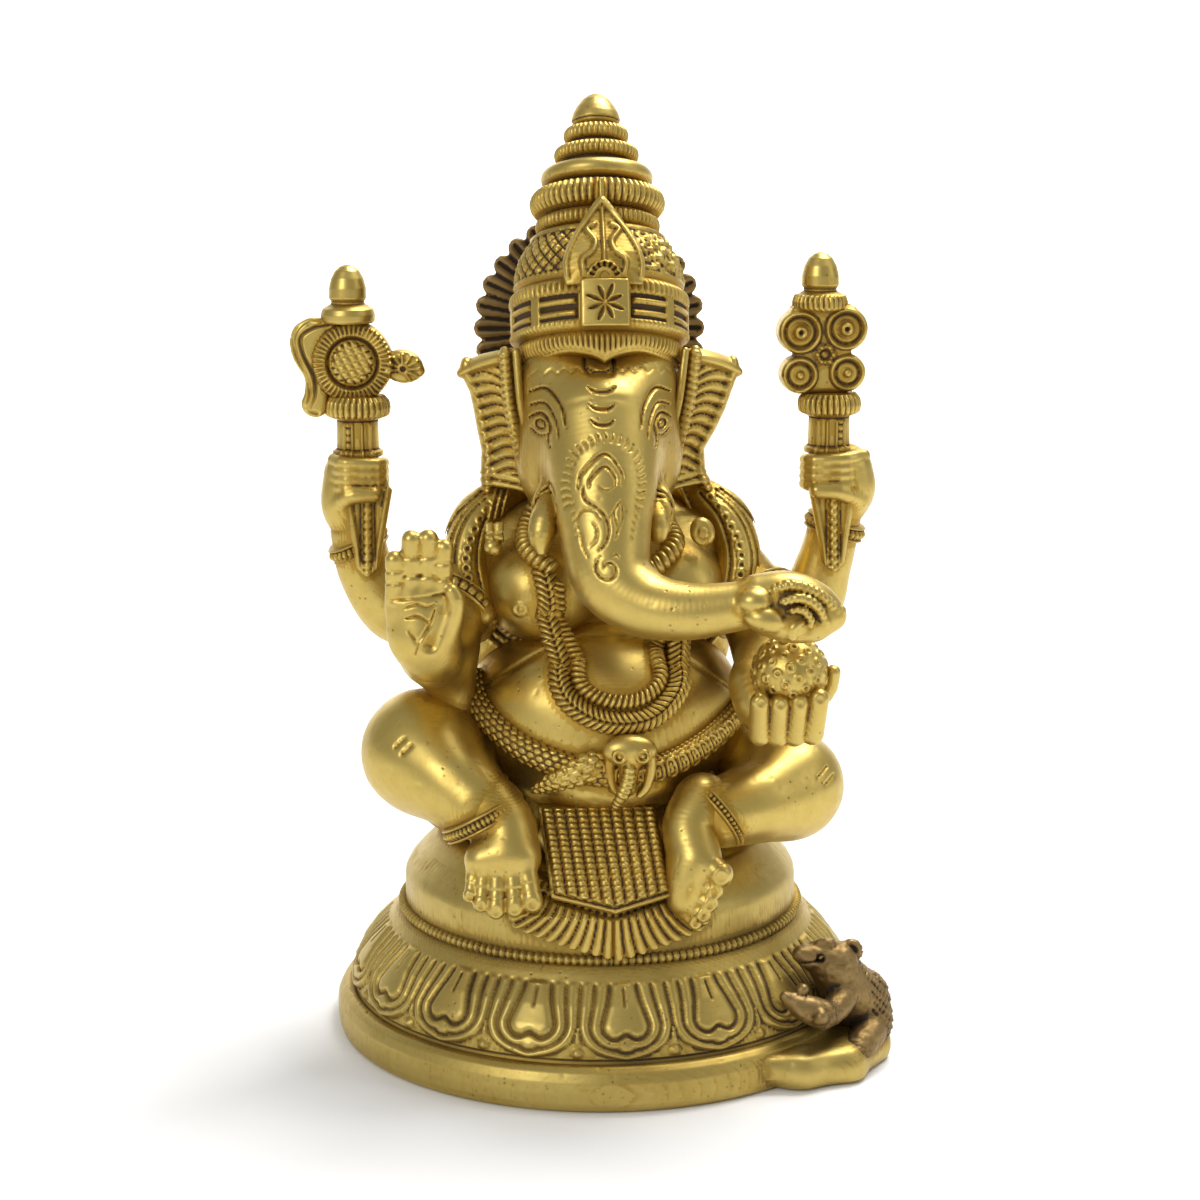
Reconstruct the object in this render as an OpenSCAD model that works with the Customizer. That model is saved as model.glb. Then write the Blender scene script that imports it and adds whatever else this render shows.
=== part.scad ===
// Seated four-armed elephant-headed figure in cast brass, on a round lotus base with a mouse.
// Frame: millimetres, +Z up, the figure faces -Y. The origin is the centre of the underside.
// "right" and "left" are the figure's own sides: its right side lies towards -X.

/* [Base] */
// Radius of the round foot
base_r = 51; // [48:0.5:54]
// Height of the plain rim below the petals
rim_h = 8.2; // [7:0.1:9]
// Height at which the petals end and the drum starts
petal_top_z = 23.3; // [22:0.1:24.5]
// Radius of the upright wall of the drum
drum_r = 37.5; // [36.5:0.1:38]
// Height at which the drum starts to slope inward
drum_wall_z = 32; // [30:0.1:33]
// Height of the flat top of the drum, on which the figure sits
seat_z = 38.5; // [37.5:0.1:39.5]
// Wall thickness of the hollow base
base_wall = 4; // [3:0.1:5]

/* [Figure] */
// Half the width of the belly
belly_half_w = 26; // [24:0.1:27]
// Half the height of the belly
belly_half_h = 17.5; // [16:0.1:18.5]
// Half the width of the head across the temples
head_half_w = 16.5; // [15.5:0.1:17.5]
// Radius of the raised right knee
right_knee_r = 10.5; // [9.5:0.1:11.5]
// Radius of the lowered left knee
left_knee_r = 9; // [8:0.1:10]

/* [Crown] */
// Angle by which the crown leans back
crown_lean = 17; // [12:1:20]
// Radius of the head band
band_r = 16.2; // [15.5:0.1:17]
// Height of the crown along its own axis
crown_h = 48.8; // [47:0.1:50]
// Radius of the scalloped disc behind the head
halo_r = 22; // [20:0.5:23]

/* [Ornaments] */
// Radius of the snake that ties the waist
snake_r = 2.1; // [1.8:0.1:2.4]
// Radius of each hanging garland
garland_r = 1.6; // [1.3:0.1:1.9]
// Radius of the sweet held in the lower left hand
sweet_r = 6.6; // [6:0.1:7]
// Radius of the disc held in the upper right hand
disc_r = 7.8; // [7:0.1:9]

/* [Hidden] */

brass = "#b8963e";
aged = "#6f5526";
tube_fn = 14;
trim_fn = 10;
blob_fn = 18;
eps = 0.02;

// Heights along the crown's own axis
crown_at = [-0.5, -8, 130];
rim_foot = -3;
rim_top = 1.8;
band_top = 11;
dome_top = 21.5;
tiers_top = 42.6;
rim_r = band_r - 1.2;

// Staffs
staff_r = 4.1;
staff_h = 18.8;

// Centre lines as [x, y, z, radius], from the body outwards
right_thigh = [[-17, 5, 51, 12], [-26, -6, 54.5, 11.5], [-33.5, -15, 57.2, right_knee_r]];
right_shin = [[-33.5, -15, 57.2, right_knee_r], [-29.5, -22, 54.5, 8.8], [-24.5, -27, 51, 6.8]];
left_thigh = [[17, 5, 50, 11.5], [26.5, -6, 50.5, 10.5], [34.6, -15.5, 49.8, left_knee_r]];
left_shin = [[34.6, -15.5, 49.8, left_knee_r], [28, -23, 49, 7.5], [20.5, -27.3, 48, 6.2]];
right_upper_arm = [[-22, 0, 94, 7.6], [-27, -8, 86, 7.3], [-31, -17, 77.2, 6.5]];
right_forearm = [[-31, -17, 77.2, 6.5], [-31.8, -24, 77.6, 5.6], [-32, -29, 80, 5]];
// The casting ties the raised elbow to the knee below it
elbow_web = [[-29, -17, 76, 5], [-28, -14, 66, 4.5]];
left_upper_arm = [[20.5, 0, 93, 8], [28, -8, 84, 7.2], [31, -14, 75, 6.4]];
left_forearm = [[31, -14, 75, 6.4], [28, -23, 74, 5.4], [26, -30, 73, 4.6]];
right_rear_path = [[-20, 6, 90, 7.5], [-32, 4, 81.5, 6.6], [-38.4, 1, 81, 6.5], [-44, 0, 88.6, 5.3], [-45.6, 0, 96, 4.8]];
left_rear_path = [[20, 6, 90, 7.5], [32, 4, 81.5, 6.4], [39.6, 1, 81, 6.3], [42.6, 0, 88.6, 5.3], [44.9, 0, 98, 4.6]];
trunk_path = [
    [-1, -19, 117, 10.5], [-1, -26, 109, 9], [-1, -30.5, 100, 7.6], [0.5, -34.5, 93, 6.6],
    [6, -38, 89, 5.6], [13, -41, 88.3, 4.8], [21, -42.5, 89.3, 4.2], [29, -43, 90.5, 4], [36, -42, 89.5, 2.6]
];
garland_outer_path = [
    [-12, -22, 96], [-9.5, -27, 86], [-10.5, -27.5, 78], [-8, -29, 70.5], [-1, -30.5, 66],
    [8, -30, 66.5], [14, -27, 72], [15.5, -25, 80], [14, -24, 88]
];
garland_inner_path = [
    [-7, -26.5, 90], [-6.5, -28, 80], [-5, -29, 73], [0, -30, 70], [6.5, -29.5, 70.5], [11, -28, 76], [11, -27, 85]
];
snake_path = [
    [-25, -10, 71], [-23, -17, 65.5], [-17, -23.5, 60.5], [-9, -27.5, 57.5], [0, -29.5, 56],
    [9, -29, 56.5], [17, -25, 59.5], [23.5, -18, 63.5], [27, -9, 66]
];

// Places of the two staffs held by the rear hands
function staff_x(side) = side < 0 ? -45.2 : 43.2;
function wrist_x(side) = side < 0 ? -45.5 : 44.7;
function wrist_z(side) = side < 0 ? 93.8 : 96.3;

// Shared shapes
module ball(p, fn = tube_fn) translate([p[0], p[1], p[2]]) sphere(r = p[3], $fn = fn);

module limb(path, fn = tube_fn) {
    for (i = [0 : len(path) - 2]) hull() { ball(path[i], fn); ball(path[i + 1], fn); }
}

module rope(path, r) limb([for (p = path) [p[0], p[1], p[2], r]], trim_fn);

module blob(at, size, fn = blob_fn) hull() translate(at) scale(size) sphere(r = 1, $fn = fn);

module crown_frame() translate(crown_at) rotate([-crown_lean, 0, 0]) children();

module stack(levels) rotate_extrude($fn = 64) {
    polygon([each [[0, levels[0][1]]], each levels, [0, levels[len(levels) - 1][1]]]);
}

// Solid envelopes of the large body parts, used again to seat their neighbours on them
module drum_envelope() cylinder(h = seat_z, r = drum_r - 1, $fn = 48);

module drum_solid() rotate_extrude($fn = 96) polygon([
    [0, 0], [drum_r, 0], [drum_r, drum_wall_z], [drum_r - 6.5, seat_z], [0, seat_z]
]);

module belly_body() blob([0.5, -6, 64], [belly_half_w, 22, belly_half_h]);

module chest_body() {
    blob([0, 0, 90], [24, 15, 16]);
    blob([-12, -9, 86], [11, 11, 10]);
    blob([12, -9, 86], [11, 11, 10]);
    blob([0, 2, 74], [25, 13.5, 15]);
}

module head_body() {
    blob([-1, -7, 118], [head_half_w, 16, 16]);
    blob([-8, -12, 124], [8, 9, 8]);
    blob([6, -12, 124], [8, 9, 8]);
}

module torso_body() { belly_body(); chest_body(); }

module right_leg_body() { limb(right_thigh); limb(right_shin); }

module left_leg_body() { limb(left_thigh); limb(left_shin); }

module crown_core() crown_frame() translate([0, 0, rim_foot]) cylinder(h = crown_h, r = band_r, $fn = 32);

// Base
module plinth() color(brass) rotate_extrude($fn = 96) {
    difference() {
        hull() {
            translate([base_r - rim_h / 2, rim_h / 2]) circle(r = rim_h / 2, $fn = 32);
            translate([base_r - 3, 0]) square([2, 1]);
            translate([base_r - base_wall - 4, 0]) square([4, rim_h]);
        }
        translate([0, -1]) square([base_r - base_wall - 3, rim_h + 2]);
    }
}

module lotus_ring() color(brass) rotate_extrude($fn = 96) polygon([
    [base_r - base_wall - 3, rim_h], [base_r - 2.2, rim_h], [base_r - 3, rim_h + 3],
    [base_r - 6.5, rim_h + 9], [base_r - 12.5, petal_top_z], [drum_r - base_wall, petal_top_z]
]);

module seat_drum() color(brass) rotate_extrude($fn = 96) polygon([
    [drum_r - base_wall, petal_top_z], [drum_r, petal_top_z], [drum_r, drum_wall_z],
    [drum_r - 6.5, seat_z], [0, seat_z], [0, seat_z - base_wall],
    [drum_r - 8, seat_z - base_wall], [drum_r - base_wall, drum_wall_z - 2]
]);

module drum_beading() color(brass) difference() {
    translate([0, 0, petal_top_z]) cylinder(h = 1.6, r = drum_r + 1.2, $fn = 96);
    translate([0, 0, petal_top_z - 1]) cylinder(h = 4, r = drum_r, $fn = 96);
}

// Mouse
module mouse_ledge() color(brass) difference() {
    linear_extrude(5) hull() {
        translate([27, -38.5]) circle(r = 6, $fn = 32);
        translate([40, -37]) circle(r = 6, $fn = 32);
        translate([46, -25]) circle(r = 7, $fn = 32);
    }
    translate([0, 0, -1]) cylinder(h = rim_h, r = base_r, $fn = 96);
}

module mouse_body() {
    limb([[46, -21, 9.5, 6], [46, -25, 10.5, 6.6], [42, -28, 14.5, 4.6], [39, -29, 19, 4]]);
    limb([[39, -29, 19.5, 3.8], [34.5, -31, 22, 1.5]]);
    limb([[42, -28, 20, 2.6], [44.5, -26.5, 20.5, 1.8]]);
    limb([[48, -29, 7, 4.4], [44, -36, 4.5, 2.6], [40, -39, 2.8, 2]]);
    limb([[42, -31, 13, 2.6], [38.5, -37, 11.5, 2.6]]);
}

module mouse_sweet_body() limb([[37.5, -37.5, 12.5, 3], [31, -38.5, 14.5, 1.2]]);

module mouse() color(aged) difference() {
    mouse_body();
    mouse_sweet_body();
    cylinder(h = rim_h, r = base_r, $fn = 64);
    rotate_extrude($fn = 64) polygon([
        [30, rim_h - eps], [base_r - 2.2, rim_h - eps], [base_r - 3, rim_h + 3],
        [base_r - 6.5, rim_h + 9], [base_r - 12.5, petal_top_z], [30, petal_top_z]
    ]);
    translate([0, 0, -10]) cylinder(h = 15, r = 80, $fn = 32);
}

module mouse_sweet() color(aged) mouse_sweet_body();

// Seat, rug and torso
module hips_body() {
    blob([0, 4, 49], [34, 26, 13]);
    blob([-20, 0, 46], [16, 20, 9]);
    blob([20, 0, 46], [16, 20, 9]);
    blob([0, -18, 43], [15, 14, 6]);
}

module hips() color(brass) difference() {
    hips_body();
    torso_body();
    rug_body();
    drum_envelope();
    translate([0, 0, -1]) cylinder(h = seat_z + 1, r = 60, $fn = 48);
}

module rug_body() hull() {
    for (x = [-11, 10.5]) {
        translate([x, -27, 45.5]) sphere(r = 0.9, $fn = trim_fn);
        translate([x, -36.2, 35.5]) sphere(r = 0.9, $fn = trim_fn);
    }
    translate([0, -37.2, 32.6]) sphere(r = 0.9, $fn = trim_fn);
}

module rug() color(brass) difference() {
    rug_body();
    drum_solid();
}

module rug_fringe() color(brass) difference() {
    intersection() {
        rotate_extrude($fn = 96) polygon([
            [drum_r, petal_top_z + 1.6], [drum_r + 1.6, petal_top_z + 1.6], [drum_r + 1.4, drum_wall_z],
            [drum_r - 4, seat_z - 1], [drum_r - 5, seat_z - 1.5], [drum_r, drum_wall_z]
        ]);
        rotate([90, 0, 0]) linear_extrude(60)
            polygon([[-18, 33], [-11, 37], [10.5, 37], [17, 31], [2, 24], [-10, 27]]);
    }
    rug_body();
}

module belly() color(brass) belly_body();

module chest() color(brass) difference() {
    chest_body();
    belly_body();
}

// Legs and feet
module right_leg() color(brass) difference() {
    right_leg_body();
    torso_body();
    hips_body();
    drum_envelope();
}

module left_leg() color(brass) difference() {
    left_leg_body();
    torso_body();
    hips_body();
    drum_envelope();
}

module anklet(at, turn, r) translate(at) rotate(turn) difference() {
    cylinder(h = 3, r = r + 1.6, center = true, $fn = 48);
    cylinder(h = 4, r = r, center = true, $fn = 48);
}

module right_anklet_body() anklet([-22.9, -28.2, 48.2], [0, 29.5, 162], 6.7);

module left_anklet_body() anklet([19.5, -27.5, 48], [0, 56.6, 21], 6.2);

module right_anklet() color(brass) difference() {
    right_anklet_body();
    right_leg_body();
    hips_body();
}

module left_anklet() color(brass) difference() {
    left_anklet_body();
    left_leg_body();
    hips_body();
}

module toes(first, step, r) for (i = [0 : 4])
    hull() ball([each (first + i * step), r - 0.12 * i], trim_fn);

module right_foot_body() {
    limb([[-23, -29, 49, 5.4], [-20.5, -33, 43, 5.6], [-20, -35.5, 37, 5]]);
    limb([[-24.5, -36, 35.5, 2.6], [-15.5, -37, 35.5, 3]]);
    toes([-14, -38.4, 34.4], [-2.9, 0.4, -0.4], 2.1);
}

module left_foot_body() {
    limb([[20, -28, 48, 5.4], [15.5, -31, 43, 5.6], [16.5, -34, 38, 5]]);
    limb([[16, -36, 34, 2.8], [20, -36.5, 36, 3]]);
    toes([16.5, -39, 33], [1.5, 0, 1.9], 1.9);
}

module right_foot() color(brass) difference() {
    right_foot_body();
    right_leg_body();
    right_anklet_body();
    drum_solid();
    hips_body();
}

module left_foot() color(brass) difference() {
    left_foot_body();
    left_leg_body();
    left_anklet_body();
    drum_solid();
    hips_body();
}

// Ornaments on the torso
module snake_belt() color(brass) difference() {
    rope(snake_path, snake_r);
    torso_body();
    snake_hood_body();
}

module snake_hood_body() {
    blob([3.5, -30.5, 60.5], [5, 2.6, 4.2]);
    limb([[3.5, -31, 57, 2.4], [3, -31.5, 51.5, 1.8]], trim_fn);
    limb([[-1, -30, 57, 1.5], [-7, -29.5, 55.5, 1.6]], trim_fn);
    limb([[8, -30, 58, 1.4], [12, -28.5, 60, 1.2]], trim_fn);
}

module snake_hood() color(brass) difference() {
    snake_hood_body();
    torso_body();
    hips_body();
}

module garland_outer() color(brass) difference() {
    rope(garland_outer_path, garland_r);
    torso_body();
    trunk_body();
}

module garland_inner() color(brass) difference() {
    rope(garland_inner_path, garland_r * 0.8);
    torso_body();
    rope(garland_outer_path, garland_r);
    trunk_body();
}

module shawl_body(side) limb([
    [side * 13, 6, 104, 3], [side * 20, -4, 103, 3.4], [side * 23, -11, 97, 3], [side * 20, -17, 90, 2]
]);

module shawl(side) difference() {
    shawl_body(side);
    torso_body();
    head_body();
    ear_body(side);
    tusk_body(side);
}

module right_shawl() color(brass) shawl(-1);

module left_shawl() color(brass) shawl(1);

// Front arms
module right_front_arm_body() { limb(right_upper_arm); limb(right_forearm); limb(elbow_web); }

module left_front_arm_body() { limb(left_upper_arm); limb(left_forearm); }

module right_front_arm() color(brass) difference() {
    right_front_arm_body();
    torso_body();
    right_leg_body();
    shawl_body(-1);
}

module left_front_arm() color(brass) difference() {
    left_front_arm_body();
    torso_body();
    left_leg_body();
    shawl_body(1);
}

module armlet(side) translate([side * 29.5, -10, 82]) rotate([-35, side * 20, 0])
    cylinder(h = 2.6, r = 8.6, center = true, $fn = 32);

module armlets() color(brass) difference() {
    for (side = [-1, 1]) armlet(side);
    right_front_arm_body();
    left_front_arm_body();
    torso_body();
}

module finger(from, to, r) hull() { ball([each from, r], trim_fn); ball([each to, r * 0.85], trim_fn); }

module blessing_hand_body() {
    limb([[-32, -29.5, 80, 4.8], [-33.2, -31.5, 84, 5.6], [-33.4, -32, 88, 5.3]]);
    for (i = [0 : 3]) finger([-37.4 + 2.75 * i, -32.5, 90.5], [-37 + 2.45 * i, -33.5, [96.8, 100.3, 100.5, 98.8][i]], 1.6);
    finger([-29.6, -31.5, 84.5], [-27.6, -33, 90.2], 1.8);
}

module blessing_hand() color(brass) difference() {
    blessing_hand_body();
    right_front_arm_body();
}

module sweet_body() ball([31, -37.5, 76.2, sweet_r], 24);

module sweet_hand_body() {
    limb([[26, -31, 73, 4.6], [28.5, -34, 69.5, 5], [31, -36.5, 68.5, 4.6]]);
    for (i = [0 : 3]) finger([25.5 + 3.5 * i, -39.5, 66.5], [25.8 + 3.3 * i, -42.5, 72.5], 1.8);
    finger([33, -36.5, 69.5], [38.2, -38, 75.5], 1.8);
}

module sweet() color(brass) difference() {
    sweet_body();
    sweet_hand_body();
    trunk_body();
}

module sweet_hand() color(brass) difference() {
    sweet_hand_body();
    left_front_arm_body();
    left_leg_body();
}

// Rear arms, each with a bracelet, a scarf over the wrist and a hand round a staff
module right_rear_arm_body() limb(right_rear_path);

module left_rear_arm_body() limb(left_rear_path);

module right_rear_arm() color(brass) difference() {
    right_rear_arm_body();
    torso_body();
    right_front_arm_body();
    shawl_body(-1);
    rear_hand_body(-1);
}

module left_rear_arm() color(brass) difference() {
    left_rear_arm_body();
    torso_body();
    left_front_arm_body();
    shawl_body(1);
    rear_hand_body(1);
}

module bracelet_body(side) translate([wrist_x(side), 0.2, wrist_z(side)]) rotate([0, side * 8, 0])
    cylinder(h = 3, r = 5.9, center = true, $fn = 48);

module bracelet(side) difference() {
    bracelet_body(side);
    limb(side < 0 ? right_rear_path : left_rear_path);
    rear_hand_body(side);
    scarf_body(side);
}

module right_bracelet() color(brass) bracelet(-1);

module left_bracelet() color(brass) bracelet(1);

module scarf_body(side) hull() {
    for (x = [-3.4, 3.4]) ball([side * 43.5 + x, -4.8, 104, 1], trim_fn);
    ball([side * 43, -5.4, 89.5, 1.2], trim_fn);
}

module scarf(side) difference() {
    scarf_body(side);
    limb(side < 0 ? right_rear_path : left_rear_path);
    rear_hand_body(side);
}

module right_scarf() color(brass) scarf(-1);

module left_scarf() color(brass) scarf(1);

module rear_hand_body(side) {
    limb([[wrist_x(side), 0, wrist_z(side) + 6, 4.8], [side * 46.8, 0, 103.5, 5.2], [side * 46, -1, 107.5, 4.6]]);
    for (i = [0 : 3]) finger([side * 48.5, -4.2, 104.4 + 1.7 * i], [side * 41, -4.6, 104 + 1.7 * i], 1.3);
}

module rear_hand(side) difference() {
    rear_hand_body(side);
    translate([staff_x(side), 0, 103]) cylinder(h = 20, r = staff_r, $fn = 32);
}

module right_rear_hand() color(brass) rear_hand(-1);

module left_rear_hand() color(brass) rear_hand(1);

module staff_collar(side, r_collar) translate([staff_x(side), 0, 103]) stack([
    [staff_r, 0], [staff_r, staff_h - 4.2], [r_collar, staff_h - 3.6], [r_collar, staff_h - 0.5],
    [r_collar - 0.8, staff_h]
]);

module cone_finial(x, foot, height) translate([x, 0, foot]) stack([
    [5, 0], [5, 2.6], [4.2, 3.4], [3.2, 3.8], [3.4, 5.5], [2.9, height - 3], [1.5, height - 0.8], [0.4, height]
]);

module disc_collar() color(brass) staff_collar(-1, 6);

module disc_emblem() color(brass) difference() {
    union() {
        translate([-45.9, 2.5, 128]) rotate([90, 0, 0]) cylinder(h = 5, r = disc_r, $fn = 64);
        translate([-45.9, 3, 128]) rotate([90, 0, 0]) cylinder(h = 6, r = disc_r - 3, $fn = 64);
        translate([-53.4, 1.5, 131.4]) rotate([90, 0, 0]) cylinder(h = 3, r = 4.4, $fn = 32);
        translate([-53.8, 1.5, 121.6]) rotate([90, 0, 0]) cylinder(h = 3, r = 3.6, $fn = 32);
        translate([-36.4, 1.5, 127]) rotate([90, 0, 0]) cylinder(h = 3, r = 3.7, $fn = 32);
    }
    translate([-46.6, 0, 135.6]) cylinder(h = 20, r = 12, $fn = 32);
    translate([staff_x(-1), 0, 103]) cylinder(h = staff_h, r = 6, $fn = 32);
}

module disc_finial() color(brass) cone_finial(-46.6, 135.6, 10.3);

module roundel_collar() color(brass) staff_collar(1, 5.8);

module roundel_emblem() color(brass) difference() {
    union() {
        translate([36.8, -2.5, 122]) cube([9.6, 5, 16.5]);
        for (x = [-4.5, 4.5], z = [-4.4, 4.4])
            translate([41.6 + x, 3, 129.4 + z]) rotate([90, 0, 0]) cylinder(h = 6, r = 4.2, $fn = 48);
    }
    translate([41.6, 0, 137.6]) cylinder(h = 20, r = 14, $fn = 32);
    translate([staff_x(1), 0, 103]) cylinder(h = staff_h, r = 14, $fn = 32);
}

module roundel_finial() color(brass) cone_finial(41.1, 137.6, 10.3);

// Head
module trunk_body() {
    limb(trunk_path);
    limb([[36, -42, 89.5, 2.6], [34, -43.5, 86.5, 2.6], [28, -45, 87.5, 3.4], [23, -45.5, 89, 2.8]]);
}

module tusk_body(side) limb(side < 0
    ? [[-10.5, -19, 104, 2.6], [-11.5, -24, 99.5, 2]]
    : [[9.5, -20, 105, 2.4], [10.5, -25, 101.5, 1.8]]);

module ear_body(side) {
    hull() {
        ball([side * 14, -4, 126, 2], trim_fn);
        ball([side * 25, -4, 127, 1.8], trim_fn);
        ball([side * 23, -5, 113, 1.6], trim_fn);
        ball([side * 14, -6, 106, 2], trim_fn);
    }
    hull() {
        ball([side * 14, -6, 106, 2], trim_fn);
        ball([side * 22, -6, 108, 1.8], trim_fn);
        ball([side * 19, -9, 103, 1.6], trim_fn);
    }
}

module head() color(brass) difference() {
    head_body();
    torso_body();
    crown_core();
    trunk_body();
    halo_body();
}

module trunk() color(brass) difference() {
    trunk_body();
    belly_body();
    chest_body();
    sweet_hand_body();
    crown_core();
}

module tusk(side) difference() {
    tusk_body(side);
    head_body();
    trunk_body();
    torso_body();
}

module right_tusk() color(brass) tusk(-1);

module left_tusk() color(brass) tusk(1);

module ear(side) difference() {
    ear_body(side);
    head_body();
    torso_body();
    crown_core();
    halo_body();
    tusk_body(side);
}

module right_ear() color(brass) ear(-1);

module left_ear() color(brass) ear(1);

module ear_strip_body(side)
    limb([[side * 16, -9, 128, 1.3], [side * 18, -9.5, 118, 1.3], [side * 15.5, -11, 108, 1.3]], trim_fn);

module ear_strips() color(brass) difference() {
    for (side = [-1, 1]) ear_strip_body(side);
    head_body();
    torso_body();
    ear_body(-1);
    ear_body(1);
    trunk_body();
    crown_core();
}

module halo_body() translate([-1.3, 13, 134]) rotate([90, 0, 0]) cylinder(h = 3, r = halo_r, $fn = 64);

// Crown
module crown_rim() color(brass) crown_frame()
    translate([0, 0, rim_foot]) cylinder(h = rim_top - rim_foot, r = rim_r, $fn = 64);

module crown_band() color(brass) crown_frame()
    translate([0, 0, rim_top]) cylinder(h = band_top - rim_top, r = band_r, $fn = 64);

module star_plate() color(brass) crown_frame() difference() {
    translate([-5, -band_r - 1.4, rim_top]) cube([10, 4, 9.4]);
    cylinder(h = band_top, r = band_r, $fn = 64);
    translate([0, 0, band_top]) dome_solid();
}

module dome_solid() stack([[15.4, 0], [15, 3.5], [13.6, 7.5], [11.8, dome_top - band_top]]);

module crest_leaf() color(brass) crown_frame() difference() {
    translate([0, -10, band_top]) rotate([90, 0, 0]) linear_extrude(6.2)
        polygon([[-5, 0], [-7.2, 2.4], [-6, 7], [-2.5, 11], [0, 14.5], [2.5, 11], [6, 7], [7.2, 2.4], [5, 0]]);
    translate([0, 0, band_top]) dome_solid();
    translate([0, 0, dome_top]) tiers_solid();
    translate([-5, -band_r - 1.4, rim_top]) cube([10, 4, 9.4]);
}

module crown_dome() color(brass) crown_frame() translate([0, 0, band_top]) dome_solid();

module tiers_solid() stack([
    [10.9, 0], [10.9, 3], [12, 4.4], [12, 7.6], [10.6, 8.8], [9, 9.2], [10.3, 10.2], [10.3, 11.8], [8.8, 13],
    [6.6, 13.4], [7.5, 14.6], [7.5, 16], [5.4, 17], [5.7, 18], [5.7, 19.4], [4, tiers_top - dome_top]
]);

module crown_tiers() color(brass) crown_frame() translate([0, 0, dome_top]) tiers_solid();

module crown_finial() color(brass) crown_frame() translate([0, 0, tiers_top]) stack([
    [4.4, 0], [4.3, 1.6], [3.2, crown_h - tiers_top - 2], [1.4, crown_h - tiers_top - 0.4], [0.4, crown_h - tiers_top]
]);

module halo() color(aged) difference() {
    halo_body();
    crown_core();
}

plinth();
lotus_ring();
seat_drum();
drum_beading();
mouse_ledge();
mouse();
mouse_sweet();
hips();
rug();
rug_fringe();
belly();
chest();
right_leg();
left_leg();
right_anklet();
left_anklet();
right_foot();
left_foot();
snake_belt();
snake_hood();
garland_outer();
garland_inner();
right_shawl();
left_shawl();
armlets();
right_front_arm();
blessing_hand();
left_front_arm();
sweet_hand();
sweet();
right_rear_arm();
right_bracelet();
right_scarf();
right_rear_hand();
disc_collar();
disc_emblem();
disc_finial();
left_rear_arm();
left_bracelet();
left_scarf();
left_rear_hand();
roundel_collar();
roundel_emblem();
roundel_finial();
head();
trunk();
right_tusk();
left_tusk();
right_ear();
left_ear();
ear_strips();
crown_rim();
crown_band();
star_plate();
crest_leaf();
crown_dome();
crown_tiers();
crown_finial();
halo();
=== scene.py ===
"""Seated elephant-headed figure in cast brass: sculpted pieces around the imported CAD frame.

Lengths are in millimetres until a mesh is made. The figure faces -Y, and its right side lies
towards -X. Organic pieces are signed distance functions meshed on a fine grid. Ornaments are
grids swept along paths or turned round an axis, with their relief worked out by formulas.
"""
import math
from concurrent.futures import ThreadPoolExecutor

import bpy
import numpy as np
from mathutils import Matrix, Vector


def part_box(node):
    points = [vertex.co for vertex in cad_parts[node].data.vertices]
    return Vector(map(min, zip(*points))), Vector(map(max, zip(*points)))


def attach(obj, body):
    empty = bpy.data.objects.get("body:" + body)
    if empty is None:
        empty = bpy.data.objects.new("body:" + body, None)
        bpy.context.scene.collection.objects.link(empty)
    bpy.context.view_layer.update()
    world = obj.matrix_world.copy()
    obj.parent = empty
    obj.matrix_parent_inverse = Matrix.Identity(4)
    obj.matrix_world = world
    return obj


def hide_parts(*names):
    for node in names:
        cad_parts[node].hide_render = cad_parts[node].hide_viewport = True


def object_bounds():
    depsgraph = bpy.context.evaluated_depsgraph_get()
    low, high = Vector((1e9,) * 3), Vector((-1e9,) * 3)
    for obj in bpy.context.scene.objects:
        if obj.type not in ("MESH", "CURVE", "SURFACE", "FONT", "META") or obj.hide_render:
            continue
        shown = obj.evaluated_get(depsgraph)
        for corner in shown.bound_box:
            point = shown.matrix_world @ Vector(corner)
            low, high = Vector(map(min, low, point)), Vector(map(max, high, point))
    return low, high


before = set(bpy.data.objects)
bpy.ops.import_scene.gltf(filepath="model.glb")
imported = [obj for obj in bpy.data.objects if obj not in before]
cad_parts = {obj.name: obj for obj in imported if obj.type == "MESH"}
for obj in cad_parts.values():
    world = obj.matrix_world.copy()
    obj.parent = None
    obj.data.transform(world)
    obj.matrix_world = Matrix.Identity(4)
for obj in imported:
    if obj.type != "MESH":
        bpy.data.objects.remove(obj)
CAD_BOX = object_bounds()
MM = 0.001
FAR = 9.0
TAU = 2 * math.pi


# ---------------------------------------------------------------- places from the frame

def corners(node):
    """Lowest and highest corner of a CAD node, in millimetres."""
    low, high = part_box(node)
    return np.array(low, float) / MM, np.array(high, float) / MM


def centre(node):
    """Middle of a CAD node's box, in mm."""
    low, high = corners(node)
    return (low + high) / 2


# ---------------------------------------------------------------- curves and numbers

def spline(points, count):
    """Catmull-Rom curve through the points, as count points evenly spaced along it."""
    p = np.asarray(points, float)
    if len(p) == 2:
        t = np.linspace(0, 1, count)[:, None]
        return p[0] * (1 - t) + p[1] * t
    ends = np.vstack([2 * p[0] - p[1], p, 2 * p[-1] - p[-2]])
    fine = []
    for i in range(len(p) - 1):
        a, b, c, d = ends[i:i + 4]
        t = np.linspace(0, 1, 24, endpoint=False)[:, None]
        fine.append(0.5 * (2 * b + (c - a) * t + (2 * a - 5 * b + 4 * c - d) * t**2
                           + (3 * b - a - 3 * c + d) * t**3))
    fine = np.vstack(fine + [p[-1:]])
    run = lengths(fine)
    want = np.linspace(0, run[-1], count)
    return np.stack([np.interp(want, run, fine[:, i]) for i in range(p.shape[1])], 1)


def lengths(points):
    """Distance along a polyline at each of its points, in its first three columns."""
    steps = np.linalg.norm(np.diff(points[:, :3], axis=0), axis=1)
    return np.concatenate([[0], np.cumsum(steps)])


def smooth(a, b, x):
    """0 below a, 1 above b, smooth between."""
    t = np.clip((x - a) / (b - a), 0, 1)
    return t * t * (3 - 2 * t)


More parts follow.
